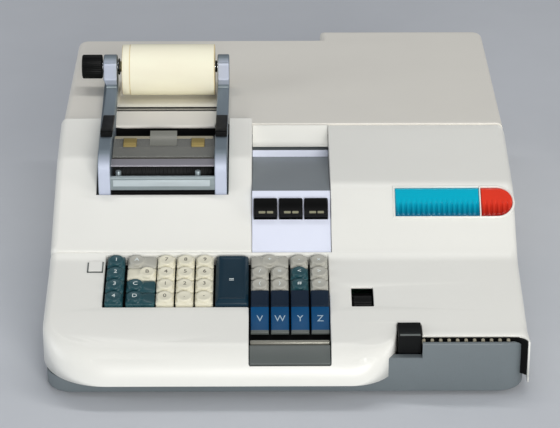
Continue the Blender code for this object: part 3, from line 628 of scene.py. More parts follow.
def plan_triangles(outer, holes, rows):
    """Triangles of the cover's plan, with edges along its rims, rolls and rows, found in millimetres."""
    scale = 1000.0
    points = []
    edges = []

    def add_line(line, close=False):
        first = len(points)
        points.extend((float(x) * scale, float(depth) * scale) for x, depth in line)
        edges.extend((first + step, first + step + 1) for step in range(len(line) - 1))
        if close:
            edges.append((first + len(line) - 1, first))

    loop = np.vstack([each["stations"][:, :2] for each in outer])
    keep = [0] + [i for i in range(1, len(loop)) if math.dist(loop[i], loop[i - 1]) > 1e-6]
    if math.dist(loop[keep[-1]], loop[keep[0]]) < 1e-6:
        keep.pop()
    loops = [loop[keep]] + [each["stations"][:-1, :2] for each in holes]
    for line in loops:
        add_line(line, close=True)
    for each in outer + holes:
        widest = each["stations"][:, 2].max()
        count = next(lines_across for width, lines_across in ROLL_LINES if widest > width)
        for step in range(1, count + 1):
            share = 1 - math.cos(math.pi / 2 * step / count)
            add_line(offset_line(each["stations"], share, each.get("loop", False)))
    left, right = loops[0][:, 0].min() - 0.001, loops[0][:, 0].max() + 0.001
    for row in rows:
        add_line([(left, row), (right, row)])
    made = delaunay_2d_cdt([Vector(p) for p in points], edges, [], 0, 1e-4)
    verts = np.array([tuple(v) for v in made[0]]) / scale
    faces = np.array([np.roll(face, -int(np.argmin(face))) for face in made[2]])
    kept = faces[inside(verts[faces].mean(1), loops)]
    return verts, kept


def hang_walls(sheet):
    """Add a wall face at every open edge, and return the walls' lower corners."""
    lower = {}
    for edge in [edge for edge in sheet.edges if edge.is_boundary]:
        for vertex in edge.verts:
            if vertex not in lower:
                lower[vertex] = sheet.verts.new(vertex.co)
        start, end = edge.verts
        sheet.faces.new((start, end, lower[end], lower[start]))
    return list(lower.values())


def cover_sheet(outer, holes, height, rows):
    """A cover's surface with walls hanging from every rim. The height depends on the depth alone."""
    verts, faces = plan_triangles(outer, holes, rows)
    lift = height(verts[:, 1]) - rolled_drop(verts, outer + holes)
    sheet = bmesh.new()
    made = [sheet.verts.new(world(x, depth, z)) for (x, depth), z in zip(verts, lift)]
    for face in faces:
        sheet.faces.new([made[index] for index in face])
    bmesh.ops.delete(sheet, geom=[v for v in sheet.verts if not v.link_faces], context="VERTS")
    bmesh.ops.recalc_face_normals(sheet, faces=sheet.faces)
    lower = hang_walls(sheet)
    plan = np.array([(v.co.x, v.co.y - FRONT_Y) for v in lower])
    distances = [nearest(plan, each["stations"])[0] for each in outer + holes]
    owners = np.argmin(np.round(np.array(distances), 6), axis=0)
    for vertex, owner in zip(lower, owners):
        foot = (outer + holes)[owner]["foot"]
        vertex.co.z = foot if foot > 0 else vertex.co.z + foot
    bmesh.ops.recalc_face_normals(sheet, faces=sheet.faces)
    return sheet


def thicken(piece, thickness):
    """Give a cover's surface a thickness, inwards."""
    solid = piece.modifiers.new("solid", "SOLIDIFY")
    solid.thickness = thickness
    solid.offset = -1


def profile(outline):
    """Height as a function of depth, from (depth, height) points."""
    depths, heights = zip(*outline)
    return lambda depth: np.interp(depth, depths, heights)


def support_rows(outline, spacing=0.016, margin=0.0025):
    """Depths of the rows: every corner of the outline, and both sides of every curve."""
    depths = [point[0] for point in outline]
    rows = set(round(depth, 6) for depth in depths)
    for before, after in zip(depths, depths[1:]):
        if after - before > 4 * margin:
            rows.update((round(before + margin, 6), round(after - margin, 6)))
            count = int((after - before) / spacing)
            rows.update(round(before + (after - before) * step / (count + 1), 6)
                        for step in range(1, count + 1))
    return sorted(rows)


def front_profile():
    """Side view of the front cover: deck, crease, slope, shoulder and flat top."""
    (deck_depth, deck_height), deck_tilt = DECK
    (slope_depth, slope_height), slope_tilt = SLOPE
    deck_rise = math.tan(deck_tilt)
    slope_rise = math.tan(slope_tilt)
    crease = (slope_height - deck_height + deck_rise * deck_depth - slope_rise * slope_depth)
    crease /= deck_rise - slope_rise
    crease_point = (crease, deck_height + deck_rise * (crease - deck_depth))
    shoulder = (SHOULDER_DEPTH, slope_height + (SHOULDER_DEPTH - slope_depth) * slope_rise)
    front = (LIP - 0.004, deck_height + deck_rise * (LIP - 0.004 - deck_depth))
    rear = (SEAM + 0.001, SEAM_HEIGHT)
    outline = [front]
    outline += fillet(front, crease_point, shoulder, 0.050, 11)
    outline += fillet(crease_point, shoulder, rear, 0.034, 10)
    return outline + [rear]


def front_cover_rims():
    """Left side, brow with its two corners, notch over the switch, vent, right side, seam, channel."""
    corner = 0.065
    brow_end = 0.110
    brow_corner = 0.046
    notch = 0.0355
    notch_right = VENT_LEFT + 0.0008
    wall_inner = HALF - 0.0018
    turn = 0.010
    vent_end = VENT_DEPTH - turn
    roll_start = VENT_DEPTH + 0.014
    seam_corner = 0.008
    channel = CHANNEL_RIGHT + 0.0005
    return [
        rim(BROW_HEM,
            straight((-HALF, DECK_REAR), (-HALF, LIP + corner), SIDE_ROLL),
            bend((-HALF + corner, LIP + corner), corner, 180, 270, SIDE_ROLL, BROW_ROLL, 24),
            straight((-HALF + corner, LIP), (brow_end - brow_corner, LIP), BROW_ROLL),
            bend((brow_end - brow_corner, LIP + brow_corner), brow_corner, 270, 360, BROW_ROLL, CRISP, 24),
            straight((brow_end, LIP + brow_corner), (brow_end, notch))),
        rim(-0.006, lines([(brow_end, notch), (notch_right, notch), (notch_right, VENT_DEPTH)])),
        rim(HEM, straight((notch_right, VENT_DEPTH), (wall_inner - turn, VENT_DEPTH))),
        rim(0.016,
            bend((wall_inner - turn, vent_end), turn, 90, 0, CRISP, THIN, 8),
            straight((wall_inner, vent_end), (HALF, vent_end), THIN)),
        rim(SIDE_HEM,
            straight((HALF, vent_end), (HALF, roll_start), THIN, SIDE_ROLL, 0.003),
            straight((HALF, roll_start), (HALF, SEAM - seam_corner), SIDE_ROLL)),
        rim(0.128,
            bend((HALF - seam_corner, SEAM - seam_corner), seam_corner, 0, 90, (0.0075, 0.010), SOFT, 10),
            straight((HALF - seam_corner, SEAM), (channel, SEAM), SOFT)),
        rim(0.078, straight((channel, SEAM), (channel, DECK_REAR))),
        rim(0.070, straight((channel, DECK_REAR), (-HALF, DECK_REAR)))]


def make_front_cover():
    outline = front_profile()
    keys = [(KEYS_LEFT, KEYS_REAR), (KEYS_RIGHT, KEYS_REAR), (KEYS_RIGHT, KEYS_FRONT),
            (KEYS_STEP, KEYS_FRONT), (KEYS_STEP, KEYS_MIDDLE), (KEYS_LEFT, KEYS_MIDDLE)]
    holes = [outline_hole(rounded(keys, 0.0015, 3), -0.010, (0.0014, 0.0012)), hole(*WHEEL_HOLE, HEM)]
    sheet = cover_sheet(front_cover_rims(), holes, profile(outline), support_rows(outline))
    piece = add_piece("front_cover", sheet, "enamel", replaces=("main_cover",))
    thicken(piece, FRONT_SHEET)


def make_printer_cover():
    front = (PRINTER_FRONT - 0.001, PRINTER_LIP)
    rear = (SEAM + 0.001, PRINTER_HEIGHT)
    outline = [front] + fillet(front, PRINTER_SHOULDER, rear, 0.05, 10) + [rear]
    corner = 0.009
    left = POD_LEFT + 0.0002
    right = POD_RIGHT + 0.0013
    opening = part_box("printer_frame")[0].y - FRONT_Y - 0.0018
    outer = [
        rim(SIDE_HEM, straight((-HALF, SEAM), (-HALF, PRINTER_FRONT + corner), SIDE_ROLL)),
        rim(PRINTER_FOOT,
            bend((-HALF + corner, PRINTER_FRONT + corner), corner, 180, 270, (0.0080, 0.009), SOFT, 12),
            lines([(-HALF + corner, PRINTER_FRONT), (PRINTER_RIGHT, PRINTER_FRONT)], SOFT)),
        rim(PRINTER_FOOT, lines([(PRINTER_RIGHT, PRINTER_FRONT), (PRINTER_RIGHT, SEAM)], SOFT)),
        rim(SEAM_LAP, lines([(PRINTER_RIGHT, SEAM), (right, SEAM)])),
        rim(POD_FOOT, lines([(right, SEAM), (right, opening), (left, opening), (left, SEAM)])),
        rim(SEAM_LAP, lines([(left, SEAM), (-HALF, SEAM)]))]
    sheet = cover_sheet(outer, [], profile(outline), support_rows(outline))
    piece = add_piece("printer_shell", sheet, "enamel", replaces=("printer_cover",))
    thicken(piece, PRINTER_SHEET)


def make_side_flanges():
    """Strips behind the covers' rounded corners, which close the gaps between neighbouring covers."""
    flanges = bmesh.new()
    thickness = 0.0016
    foot = SIDE_HEM + 0.0004
    left = FRONT_SHEET - HALF
    right = min(HALF, REAR_HALF) - 0.0026
    block(left, left + thickness, DECK_REAR - 0.0040, PRINTER_FRONT + 0.0160, foot, 0.0740, mesh=flanges)
    block(right - thickness, right, SEAM - 0.0160, SEAM + 0.0060, foot, 0.1290, mesh=flanges)
    round_off(add_piece("side_flanges", flanges, "enamel"), 0.0004, 2)


def roll_well():
    """Axis (depth, height) of the paper roll, and the left and right end of its well."""
    low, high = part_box("paper_roll")
    return axle("paper_roll")[0], (low.x - 0.0045, high.x + 0.004)


def make_rear_cover():
    roll = (0.007, 0.007)
    corner = 0.012
    step_x = 0.0465
    left_depth = 0.5745
    left, right = POD_INNER[0] + 0.001, POD_INNER[1] - 0.001
    front = SEAM + 0.0006
    tongue_front = 0.3165
    seam_foot = -0.012
    outer = [
        rim(seam_foot, lines([(-REAR_HALF, front), (left, front)])),
        rim(HEM, lines([(left, front), (left, tongue_front)]),
            lines([(left, tongue_front), (right, tongue_front)], SOFT),
            lines([(right, tongue_front), (right, front)])),
        rim(seam_foot, lines([(right, front), (REAR_HALF, front)])),
        rim(SIDE_HEM,
            lines([(REAR_HALF, front), (REAR_HALF, REAR_DEPTH - corner)], roll),
            bend((REAR_HALF - corner, REAR_DEPTH - corner), corner, 0, 90, roll),
            lines([(REAR_HALF - corner, REAR_DEPTH), (step_x, REAR_DEPTH), (step_x, left_depth),
                   (-REAR_HALF + corner, left_depth)], roll),
            bend((-REAR_HALF + corner, left_depth - corner), corner, 90, 180, roll),
            lines([(-REAR_HALF, left_depth - corner), (-REAR_HALF, front)], roll))]
    (middle, height), ends = roll_well()
    half_well = math.sqrt(WELL_RADIUS ** 2 - (height - REAR_TOP) ** 2)
    holes = [hole(*ends, WELL_LIP, middle + half_well, HEM)]
    rows = [0.309 + 0.020 * step for step in range(15)]
    sheet = cover_sheet(outer, holes, lambda depth: np.full(len(depth), REAR_TOP), rows)
    cut_inlet(sheet)
    piece = add_piece("rear_shell", sheet, "enamel_rear", replaces=("rear_cover",))
    thicken(piece, REAR_SHEET)
    piece.modifiers.new("even", "WEIGHTED_NORMAL").keep_sharp = True


def make_roll_trough():
    """The well's own sheet: it slopes down gently from the lip, then turns up behind the roll."""
    (middle, height), ends = roll_well()
    spread = math.degrees(math.acos((height - REAR_TOP) / WELL_RADIUS))
    low = height - WELL_RADIUS
    ease = [step / 16 for step in range(16)]
    bottom = [(WELL_LIP + (middle - WELL_LIP) * t, REAR_TOP - (REAR_TOP - low) * t * t * (3 - 2 * t))
              for t in ease]
    bottom += arc((middle, height), WELL_RADIUS, -90, -90 + spread, 12)
    trough = loft([[world(x, *point) for point in bottom] for x in ends])
    lid = [face for face in trough.faces
           if len(face.verts) == 4 and face.calc_center_median().z > REAR_TOP - 0.0005]
    bmesh.ops.delete(trough, geom=lid, context="FACES")
    add_piece("roll_trough", trough, "enamel_rear")


def lower_corner_wall(tray, height, reach):
    """The tray's wall is low under the rounded front left corner of the front cover."""
    step = 0.002
    low_x, low_y = reach - TRAY_HALF, reach + FRONT_Y
    for shift in (0, step):
        for place, normal in (((low_x + shift, 0, 0), (1, 0, 0)), ((0, low_y + shift, 0), (0, 1, 0))):
            bmesh.ops.bisect_plane(tray, geom=[*tray.verts, *tray.edges, *tray.faces], dist=1e-6,
                                   plane_co=place, plane_no=normal)
    for vertex in tray.verts:
        if vertex.co.x < low_x + step / 2 and vertex.co.y < low_y + step / 2:
            vertex.co.z = min(vertex.co.z, height)


def make_base():
    """The grey tray that the covers stand on, low under the front left corner, and its feet."""
    corner = 0.027
    wall = 0.040
    under = 0.0045

    def plan(inset):
        points = []
        for x, depth, start in ((1, 1, 0), (-1, 1, 90), (-1, 0, 180), (1, 0, 270)):
            centre = (x * (TRAY_HALF - corner), TRAY_DEPTH - corner if depth else corner)
            points += arc(centre, corner - inset, start, start + 90, 16)
        return points

    levels = [(0.004, under + 0.004), (0.0015, under), (0.0006, under + 0.0004), (0, under + 0.0015),
              (0, wall), (0.0035, wall), (0.004, under + 0.004)]
    tray = loft([[world(x, depth, z) for x, depth in plan(inset)] for inset, z in levels], cap=False)
    rings = [[world(x, depth, z) for x, depth in plan(0.004)] for z in (under + 0.004, under)]
    for ring in rings:
        tray.faces.new([tray.verts.new(point) for point in ring])
    lower_corner_wall(tray, BROW_HEM - 0.0013, 0.075)
    add_piece("tray", tray, "base_enamel", replaces=("base_tray",))
    make_front_panel(corner, wall)
    feet = bmesh.new()
    for x, depth in FEET:
        stations = ((0.0085, 0.0), (0.0105, 0.0), (0.0112, 0.0004), (0.0115, 0.0012), (0.0120, 0.0048))
        upright(x, depth, stations, 32, feet)
    add_piece("feet", feet, "rubber")


def make_front_panel(corner, wall):
    """The visible panel at the right, which turns the tray's corner, and the ledge under the switch."""
    top_corner = 0.0095
    spacing = 0.006
    left = VENT_LEFT + 0.0002
    rear_fall = 0.42
    edge = 0.0015
    skin = 0.0035
    path = [(left + spacing * step, 0.0, 0.0, -1.0)
            for step in range(int((TRAY_HALF - corner - VENT_LEFT) / spacing) + 1)]
    for x, depth in arc((0, 0), 1, 270, 350, 20):
        centre = (TRAY_HALF - corner, corner)
        path.append((centre[0] + corner * x, centre[1] + corner * depth, x, depth))
    section = [(0.0, 0.0)] + [(edge - edge * math.cos(a), edge * math.sin(a))
                              for a in (0, 0.4, 0.8, 1.2, math.pi / 2)]
    section += [(skin, edge), (skin, 0.0)]
    ends = (0, len(section) - 1)
    path = [station for station in path if station[1] < VENT_DEPTH]
    rings = []
    for x, depth, nx, nd in path:
        near = max(0.0, top_corner - (TRAY_HALF - x))
        fall = top_corner - math.sqrt(max(0.0, top_corner ** 2 - near ** 2)) + rear_fall * depth
        top = PANEL_TOP - edge - fall
        rings.append([world(x - nx * inset, depth - nd * inset, wall if index in ends else top + rise)
                      for index, (inset, rise) in enumerate(section)])
    panel = loft(rings)
    ledge_top = wall + 0.0020
    ledge = prism([(0.0, wall), (0.0, ledge_top - 0.0008), (0.0008, ledge_top), (0.0082, ledge_top),
                   (0.0082, wall)], 0.070, left, mesh=panel)
    add_piece("front_panel", ledge, "base_enamel")


def make_vent():
    """Beige teeth over a black trough, the last ones turning the corner."""
    teeth = bmesh.new()
    pitch = 0.0083
    width = 0.0034
    grille_right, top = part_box("vent_grille")[1].xz
    for tooth in range(11):
        left = VENT_LEFT + tooth * pitch
        block(left, min(left + width, grille_right), 0.0085, 0.0130, top - 0.0040, top + 0.0006, mesh=teeth)
    piece = add_piece("vent_teeth", teeth, "vent_beige", replaces=("vent_grille",))
    round_off(piece, 0.0012, 3)
    trough = bmesh.new()
    left, right = VENT_LEFT + 0.0006, HALF - 0.0022
    bottom = top - 0.0080
    floor = [(left, 0.0040), (TRAY_HALF - 0.020, 0.0045), (TRAY_HALF - 0.010, 0.0095),
             (TRAY_HALF - 0.005, 0.0148), (right, 0.0205), (right, 0.0290), (left, 0.0290)]
    prism(floor, bottom, bottom + 0.0025, "z", mesh=trough)
    block(left, right, VENT_DEPTH - 0.0002, VENT_DEPTH + 0.004, bottom, top - 0.0006, mesh=trough)
    corner = [(TRAY_HALF - 0.0100, 0.0170), (right, 0.0085), (right, 0.0180)]
    prism(corner, 0.0180, top - 0.0012, "z", mesh=trough)
    add_piece("vent_trough", trough, "void_black")


# The card channel

ROCKERS = (1, 2, 3)


def make_channel():
    slope = partial(side_view, SLOPE)
    pocket_front, pocket_rear, skin = 0.0372, 0.0614, -0.0036
    shelf_place = (0.2975, 0.1250)
    scoop = arc((0.3005, 0.1565), 0.0200, 262, 300, 8)
    lower = [(DECK_REAR + 0.0005, 0.0815), slope(0.0005, skin), slope(pocket_front, skin)]
    pocket = [slope(pocket_front, -0.0125), slope(pocket_rear, -0.0125), slope(pocket_rear, skin)]
    upper = fillet(pocket[-1], (0.2050, 0.1272), shelf_place, 0.003, 5)
    shelf = [upper[-1], shelf_place]
    front = [shelf_place, (0.2975, 0.1328)]
    slot_gap = [(0.3150, 0.1328), (0.3150, 0.1364)]
    top = scoop + [(SEAM - 0.0005, SEAM_HEIGHT - 0.0005)]
    back = [(SEAM - 0.0005, 0.1210), (0.2240, 0.1210), (0.2200, 0.1150), slope(0.056, -0.018),
            slope(0.0, -0.012)]
    # Slot 0, the lavender finish, is painted highlight on the sloping faces; the shelf's grey is the same
    # paint facing up.
    runs = ((lower, 0), (pocket, 0), (upper, 0), (shelf, 1), (front, 0), (slot_gap, 1), (top, 3), (back, 2))
    outline = []
    finishes = []
    for points, material in runs:
        for point in points:
            if not outline or math.dist(point, outline[-1]) > 1e-6:
                outline.append(point)
                finishes.append(material)
    channel = loft([[world(x, *point) for point in outline] for x in (CHANNEL_LEFT, CHANNEL_RIGHT)])
    channel.faces.ensure_lookup_table()
    for index, face in enumerate(channel.faces[:len(outline)]):
        face.material_index = finishes[(index + 1) % len(outline)]
    piece = add_piece("channel", channel, ("lavender", "shelf_grey", "void_black", "enamel"),
                      replaces=("card_channel",))
    round_off(piece, 0.0007, 2, 40)
    make_rocker_bezel(pocket_front - 0.0002, pocket_rear + 0.0002, skin)


def make_rocker_bezel(front, rear, top):
    """The strips between the rockers."""
    bezel = bmesh.new()
    gap = 0.0005
    sides = [CHANNEL_LEFT]
    for number in ROCKERS:
        low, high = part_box("rocker_%d" % number)
        sides += [low.x - gap, high.x + gap]
    sides.append(CHANNEL_RIGHT)
    for left, right in zip(sides[::2], sides[1::2]):
        slab(SLOPE, box_outline(left, right, front, rear), -0.0120, top, mesh=bezel)
    # The strips take the lavender finish, a painted highlight on the channel's grey paint.
    round_off(add_piece("rocker_bezel", bezel, "lavender"), 0.0005, 2)


def make_rockers():
    """Black rockers, dished, with a raised rear edge and a plain printed mark."""
    for number in ROCKERS:
        name = "rocker_%d" % number
        low, high = extent(name, SLOPE)
        outline = [(low[1], low[2]), (low[1] + 0.0003, high[2] - 0.0012), (low[1] + 0.0012, high[2])]
        for step in range(1, 10):
            share = step / 10
            dip = 0.0016 * math.sin(math.pi * share)
            outline.append((low[1] + 0.0012 + (high[1] - low[1] - 0.0024) * share, high[2] - dip))
        outline += [(high[1] - 0.0012, high[2]), (high[1] - 0.0003, high[2] - 0.0012), (high[1], low[2])]
        solid = loft([[on_plane(SLOPE, x, along, above) for along, above in outline]
                      for x in (low[0], high[0])])
        width = high[0] - low[0]
        for start, end in ((0.20, 0.50), (0.56, 0.84)):
            bars = box_outline(low[0] + start * width, low[0] + end * width, low[1] + 0.0025, low[1] + 0.0058)
            slab(SLOPE, bars, high[2] - 0.0020, high[2] - 0.0003, mesh=solid, slot=1)
        piece = add_piece("rocker_cap_%d" % number, solid, ("black_plastic", "print_label"), name,
                          (name,))
        round_off(piece, 0.0008, 3)


# Keys


KEY_FINISHES = {"teal": "key_teal", "grey_key": "key_grey", "cream_key": "key_cream",
                "navy_key": "key_navy", "blue_key": "key_blue"}


def rectangle_reach(centre, low, high, radius, angles):
    """Distances from a point to a rounded rectangle around it, one for each angle."""
    corners = [(high[0], low[1]), (high[0], high[1]), (low[0], high[1]), (low[0], low[1])]
    outline = np.array(rounded(corners, radius, 6))
    dense = np.vstack([outline + (np.roll(outline, -1, axis=0) - outline) * share
                       for share in np.linspace(0, 1, 12, endpoint=False)]) - np.array(centre)
    turn = np.arctan2(dense[:, 1], dense[:, 0])
    order = np.argsort(turn)
    return np.interp(angles, turn[order], np.hypot(*dense.T)[order], period=2 * math.pi)


def add_legend(solid, place, tilt, text, size, slot=1):
    """Flat printed characters, added to a key, centred on a place and tilted."""
    curve = bpy.data.curves.new("legend", "FONT")
    curve.body = text
    curve.size = size
    curve.align_x = "CENTER"
    curve.align_y = "CENTER"
    curve.resolution_u = 3
    curve.extrude = 0.00006
    words = bpy.data.objects.new("legend", curve)
    bpy.context.scene.collection.objects.link(words)
    bpy.context.view_layer.update()
    made = bpy.data.meshes.new_from_object(words.evaluated_get(bpy.context.evaluated_depsgraph_get()))
    made.transform(Matrix.Translation(place) @ Matrix.Rotation(tilt, 4, "X"))
    before = len(solid.faces)
    solid.from_mesh(made)
    solid.faces.ensure_lookup_table()
    for face in solid.faces[before:]:
        face.material_index = slot
    bpy.data.objects.remove(words)
    bpy.data.curves.remove(curve)
    bpy.data.meshes.remove(made)


def add_stem(solid, x, along, low, high):
    """The square stem under a key."""
    slab(DECK, box_outline(x - STEM, x + STEM, along - STEM, along + STEM), low, high, mesh=solid)


def key_cap(name, pad_share, legend, finish_name, print_name):
    """A square cap with a round dished pad towards its rear edge."""
    low, high = extent(name, DECK)
    top = high[2]
    under = top - KEY_HEIGHT
    pad = 0.0077
    width = high[0] - low[0]
    pad_x = low[0] + pad + 0.0012 + (width - 2 * pad - 0.0024) * pad_share
    pad_y = high[1] - pad - 0.0009
    count = 64
    angles = np.linspace(-math.pi, math.pi, count, endpoint=False) + math.pi / count

    def ring(inset, height, toward_pad=0.0, radius=0.0):
        edge = rectangle_reach((pad_x, pad_y), low[:2] + inset, high[:2] - inset, KEY_CORNER, angles)
        reach = edge * (1 - toward_pad) + radius * toward_pad
        reach = np.minimum(reach, edge)
        return [on_plane(DECK, pad_x + r * math.cos(a), pad_y + r * math.sin(a), height)
                for r, a in zip(reach, angles)]

    rings = [ring(0.0, under), ring(0.0, top - KEY_WALL), ring(0.0005, top - 0.0036),
             ring(0.0012, top - 0.0032)]
    for share in (0.45, 0.75, 0.93):
        rings.append(ring(0.0011, top - 0.0032 + 0.0016 * share ** 2, share, pad + 0.0004))
    rings += [ring(0.0011, top - 0.0008, 1.0, pad + 0.0001), ring(0.0013, top - 0.0002, 1.0, pad - 0.0004),
              ring(0.0016, top, 1.0, pad - 0.0010)]
    rings += [ring(0.002, top - DISH * (1 - share ** 2), 1.0, (pad - 0.001) * share)
              for share in (0.8, 0.55, 0.28)]
    rings.append([on_plane(DECK, pad_x, pad_y, top - DISH)])
    solid = loft(rings)
    add_stem(solid, *(low[:2] + high[:2]) / 2, low[2], under + 0.001)
    add_legend(solid, on_plane(DECK, pad_x, pad_y + 0.0006, top - 0.00046), DECK[1], legend, 0.0074)
    return add_piece("cap_" + name, solid, (finish_name, print_name), name, (name,))


LEGENDS = {"key_side": "1234", "key_wide": "ABCD", "key_number": ("789", "456", "123", "0.-")}
PAD_SHARES = {"key_wide_1": 0.0, "key_wide_2": 1.0, "key_wide_3": 0.0, "key_wide_4": 0.0}


def make_keys():
    slots = {row["node"]: row["material_slot"] for row in frame["record"]["subparts"]}
    signs = iter("+-x/=<>()#*")
    for name, slot in slots.items():
        if not name.startswith("key_") or slot not in KEY_FINISHES:
            continue
        if name == "key_start":
            piece = start_key(name)
        elif slot == "blue_key":
            piece = letter_key(name)
        else:
            parts = name.split("_")
            if parts[1] == "number":
                legend = LEGENDS["key_number"][int(parts[2]) - 1][int(parts[3]) - 1]
            elif parts[1] in ("side", "wide"):
                legend = LEGENDS["key_" + parts[1]][int(parts[2]) - 1]
            else:
                legend = next(signs)
            printed = "print_dark" if slot == "cream_key" else "print_white"
            share = PAD_SHARES.get(name, 0.5)
            piece = key_cap(name, share, legend, KEY_FINISHES[slot], printed)


def start_key(name):
    """The tall start key: bevelled border round a shallow dish, with one small mark."""
    low, high = extent(name, DECK)
    top = high[2]
    levels = ((0, -KEY_HEIGHT), (0, -KEY_WALL), (0.0004, -0.0034), (0.0012, -0.0028), (0.0030, -0.0004),
              (0.0036, 0.0), (0.0042, 0.0), (0.0050, -0.0005), (0.0080, -0.0008))
    rings = []
    for inset, height in levels:
        corners = [(high[0] - inset, low[1] + inset), (high[0] - inset, high[1] - inset),
                   (low[0] + inset, high[1] - inset), (low[0] + inset, low[1] + inset)]
        rings.append([on_plane(DECK, x, along, top + height) for x, along in rounded(corners, KEY_CORNER)])
    solid = loft(rings)
    x, along = (low[:2] + high[:2]) / 2
    add_stem(solid, x, along, low[2], top - 0.009)
    add_legend(solid, on_plane(DECK, x - 0.0005, along - 0.0030, top - 0.00072), DECK[1], "=", 0.0100)
    return add_piece("cap_" + name, solid, ("key_navy", "print_white"), name, (name,))


def letter_key(name):
    """A tall key: sloping top in a darker copy of the blue as painted shade, blue front face with its letter,
    and a small lip below.
    """
    low, high = extent(name, DECK)
    rear = high[1]
    brink = rear - 0.0249
    front = low[1]
    top = high[2]
    drop = top - 0.0006
    base = -0.0049
    foot = -0.0072
    profile_points = [(rear, top - 0.0012), (rear - 0.0008, top - 0.0002), (rear - 0.0020, top - 0.0001)]
    profile_points += [(brink + 0.0014, drop - 0.0003), (brink + 0.0005, drop - 0.0001),
                       (brink - 0.0006, drop - 0.0006)]
    face_start = len(profile_points)
    profile_points += [(brink - 0.0022, drop - 0.0014), (front + 0.0034, base + 0.0007),
                       (front + 0.0018, base + 0.0009), (front + 0.0005, base + 0.0006), (front, base),
                       (front, foot), (rear, foot)]
    rounding = ((0.0, 0.0009), (0.0003, 0.0003), (0.0009, 0.0))
    half = (high[0] - low[0]) / 2
    centre = (high[0] + low[0]) / 2
    rings = []
    for side in (-1, 1):
        for inset, sink in rounding if side < 0 else rounding[::-1]:
            ring = [on_plane(DECK, centre + side * (half - inset), along,
                             above - (sink if above > foot else 0)) for along, above in profile_points]
            rings.append(ring)
    solid = loft(rings)
    plane = plane_matrix(DECK).inverted()
    # Slot 0, the darker top, is painted shade; slot 1 is the blue front face.
    for face in solid.faces:
        along = (plane @ face.calc_center_median()).y
        if along < profile_points[face_start - 1][0]:
            face.material_index = 1
        if along < front + 0.0030:
            face.material_index = 3
    add_stem(solid, centre, LETTER_STEM_ROW, low[2], -0.0066)
    start, end = Vector(profile_points[face_start]), Vector(profile_points[face_start + 1])
    tilt = math.atan2(start.y - end.y, start.x - end.x)
    spot = end.lerp(start, 0.52)
    place = on_plane(DECK, centre, spot.x, spot.y + 0.00008)
    add_legend(solid, place, DECK[1] + tilt, name[-1].upper(), 0.0105, 2)
    return add_piece("cap_" + name, solid, ("key_blue_shaded", "key_blue", "print_pale", "sill_grey"), name,
                     (name,))


def make_key_bed():
    """A dark plate under the keys, the grey sill in front of the letter keys, and a bar on it."""
    deck = partial(side_view, DECK)
    plate = prism([deck(0.001, -0.0115), deck(0.001, -0.0145), deck(-0.1270, -0.0145),
                   deck(-0.1270, -0.0115)], -0.1855, 0.0500)
    add_piece("bed_plate", plate, "void_black", replaces=("key_bed",))
    left, right = KEYS_STEP + 0.0008, KEYS_RIGHT - 0.0008
    sill = prism([deck(-0.1345, -0.0140), deck(-0.1390, -0.0100), deck(-0.1566, -0.0150),
                  deck(-0.1566, -0.0096), deck(-0.1555, -0.0088), deck(-0.1380, -0.0036),
                  deck(-0.1350, -0.0036), deck(-0.1345, -0.0050)], left, right)
    round_off(add_piece("sill", sill, "sill_grey"), 0.0006, 2)
    stations = [(left + 0.0006, 0.0012), (left + 0.0010, 0.0022), (left + 0.0020, 0.0026),
                (right - 0.0020, 0.0026), (right - 0.0010, 0.0022), (right - 0.0006, 0.0012)]
    add_piece("key_bar", turned(stations, deck(-0.1315, -0.0038), 40), "dull_bar")


# Lamps, indicator and small controls


def lens_sheet(left, right, low, high, rise, round_end):
    """A ribbed lens: smooth on its upper half, with ribs that grow towards its lower edge."""
    pitch = 0.0053
    columns = int((right - left) / 0.00045)
    radius = (high - low) / 2
    rings = []
    for column in range(columns + 1):
        x = left + (right - left) * column / columns
        into_end = max(0.0, x - (right - radius)) if round_end else 0.0
        half = math.sqrt(max(1e-9, radius ** 2 - into_end ** 2))
        middle = (low + high) / 2
        wave = (0.5 + 0.5 * math.cos(2 * math.pi * (x - left) / pitch)) ** 1.6
        ends = min(1.0, (x - left) / 0.0010, (right - x) / 0.0010)
        ring = [on_plane(SLOPE, x, middle + half, -0.0030)]
        for step in range(19):
            share = step / 18
            along = middle + half * (1 - 2 * share)
            edge = min(1.0, (half - abs(along - middle)) / 0.0016)
            crown = rise * (1 - 0.35 * max(0.0, (share - 0.42) / 0.58) ** 2)
            ribs = 0.0020 * wave * min(1.0, max(0.0, (share - 0.38) / 0.25))
            lift = (crown - ribs * edge) * math.sqrt(max(0.0, 1 - (1 - edge) ** 2)) * ends ** 0.5
            ring.append(on_plane(SLOPE, x, along, lift))
        ring.append(on_plane(SLOPE, x, middle - half, -0.0030))
        rings.append(ring)
    return loft(rings)


def lamp_plan(left, right, low, high, grow):
    """Outline of the lamp bar, half round at its right end."""
    radius = (high - low) / 2 + grow
    end = right - (high - low) / 2
    outline = [(left - grow, high + grow), (left - grow, low - grow)]
    return outline + arc((end, (low + high) / 2), radius, -90, 90, 24)


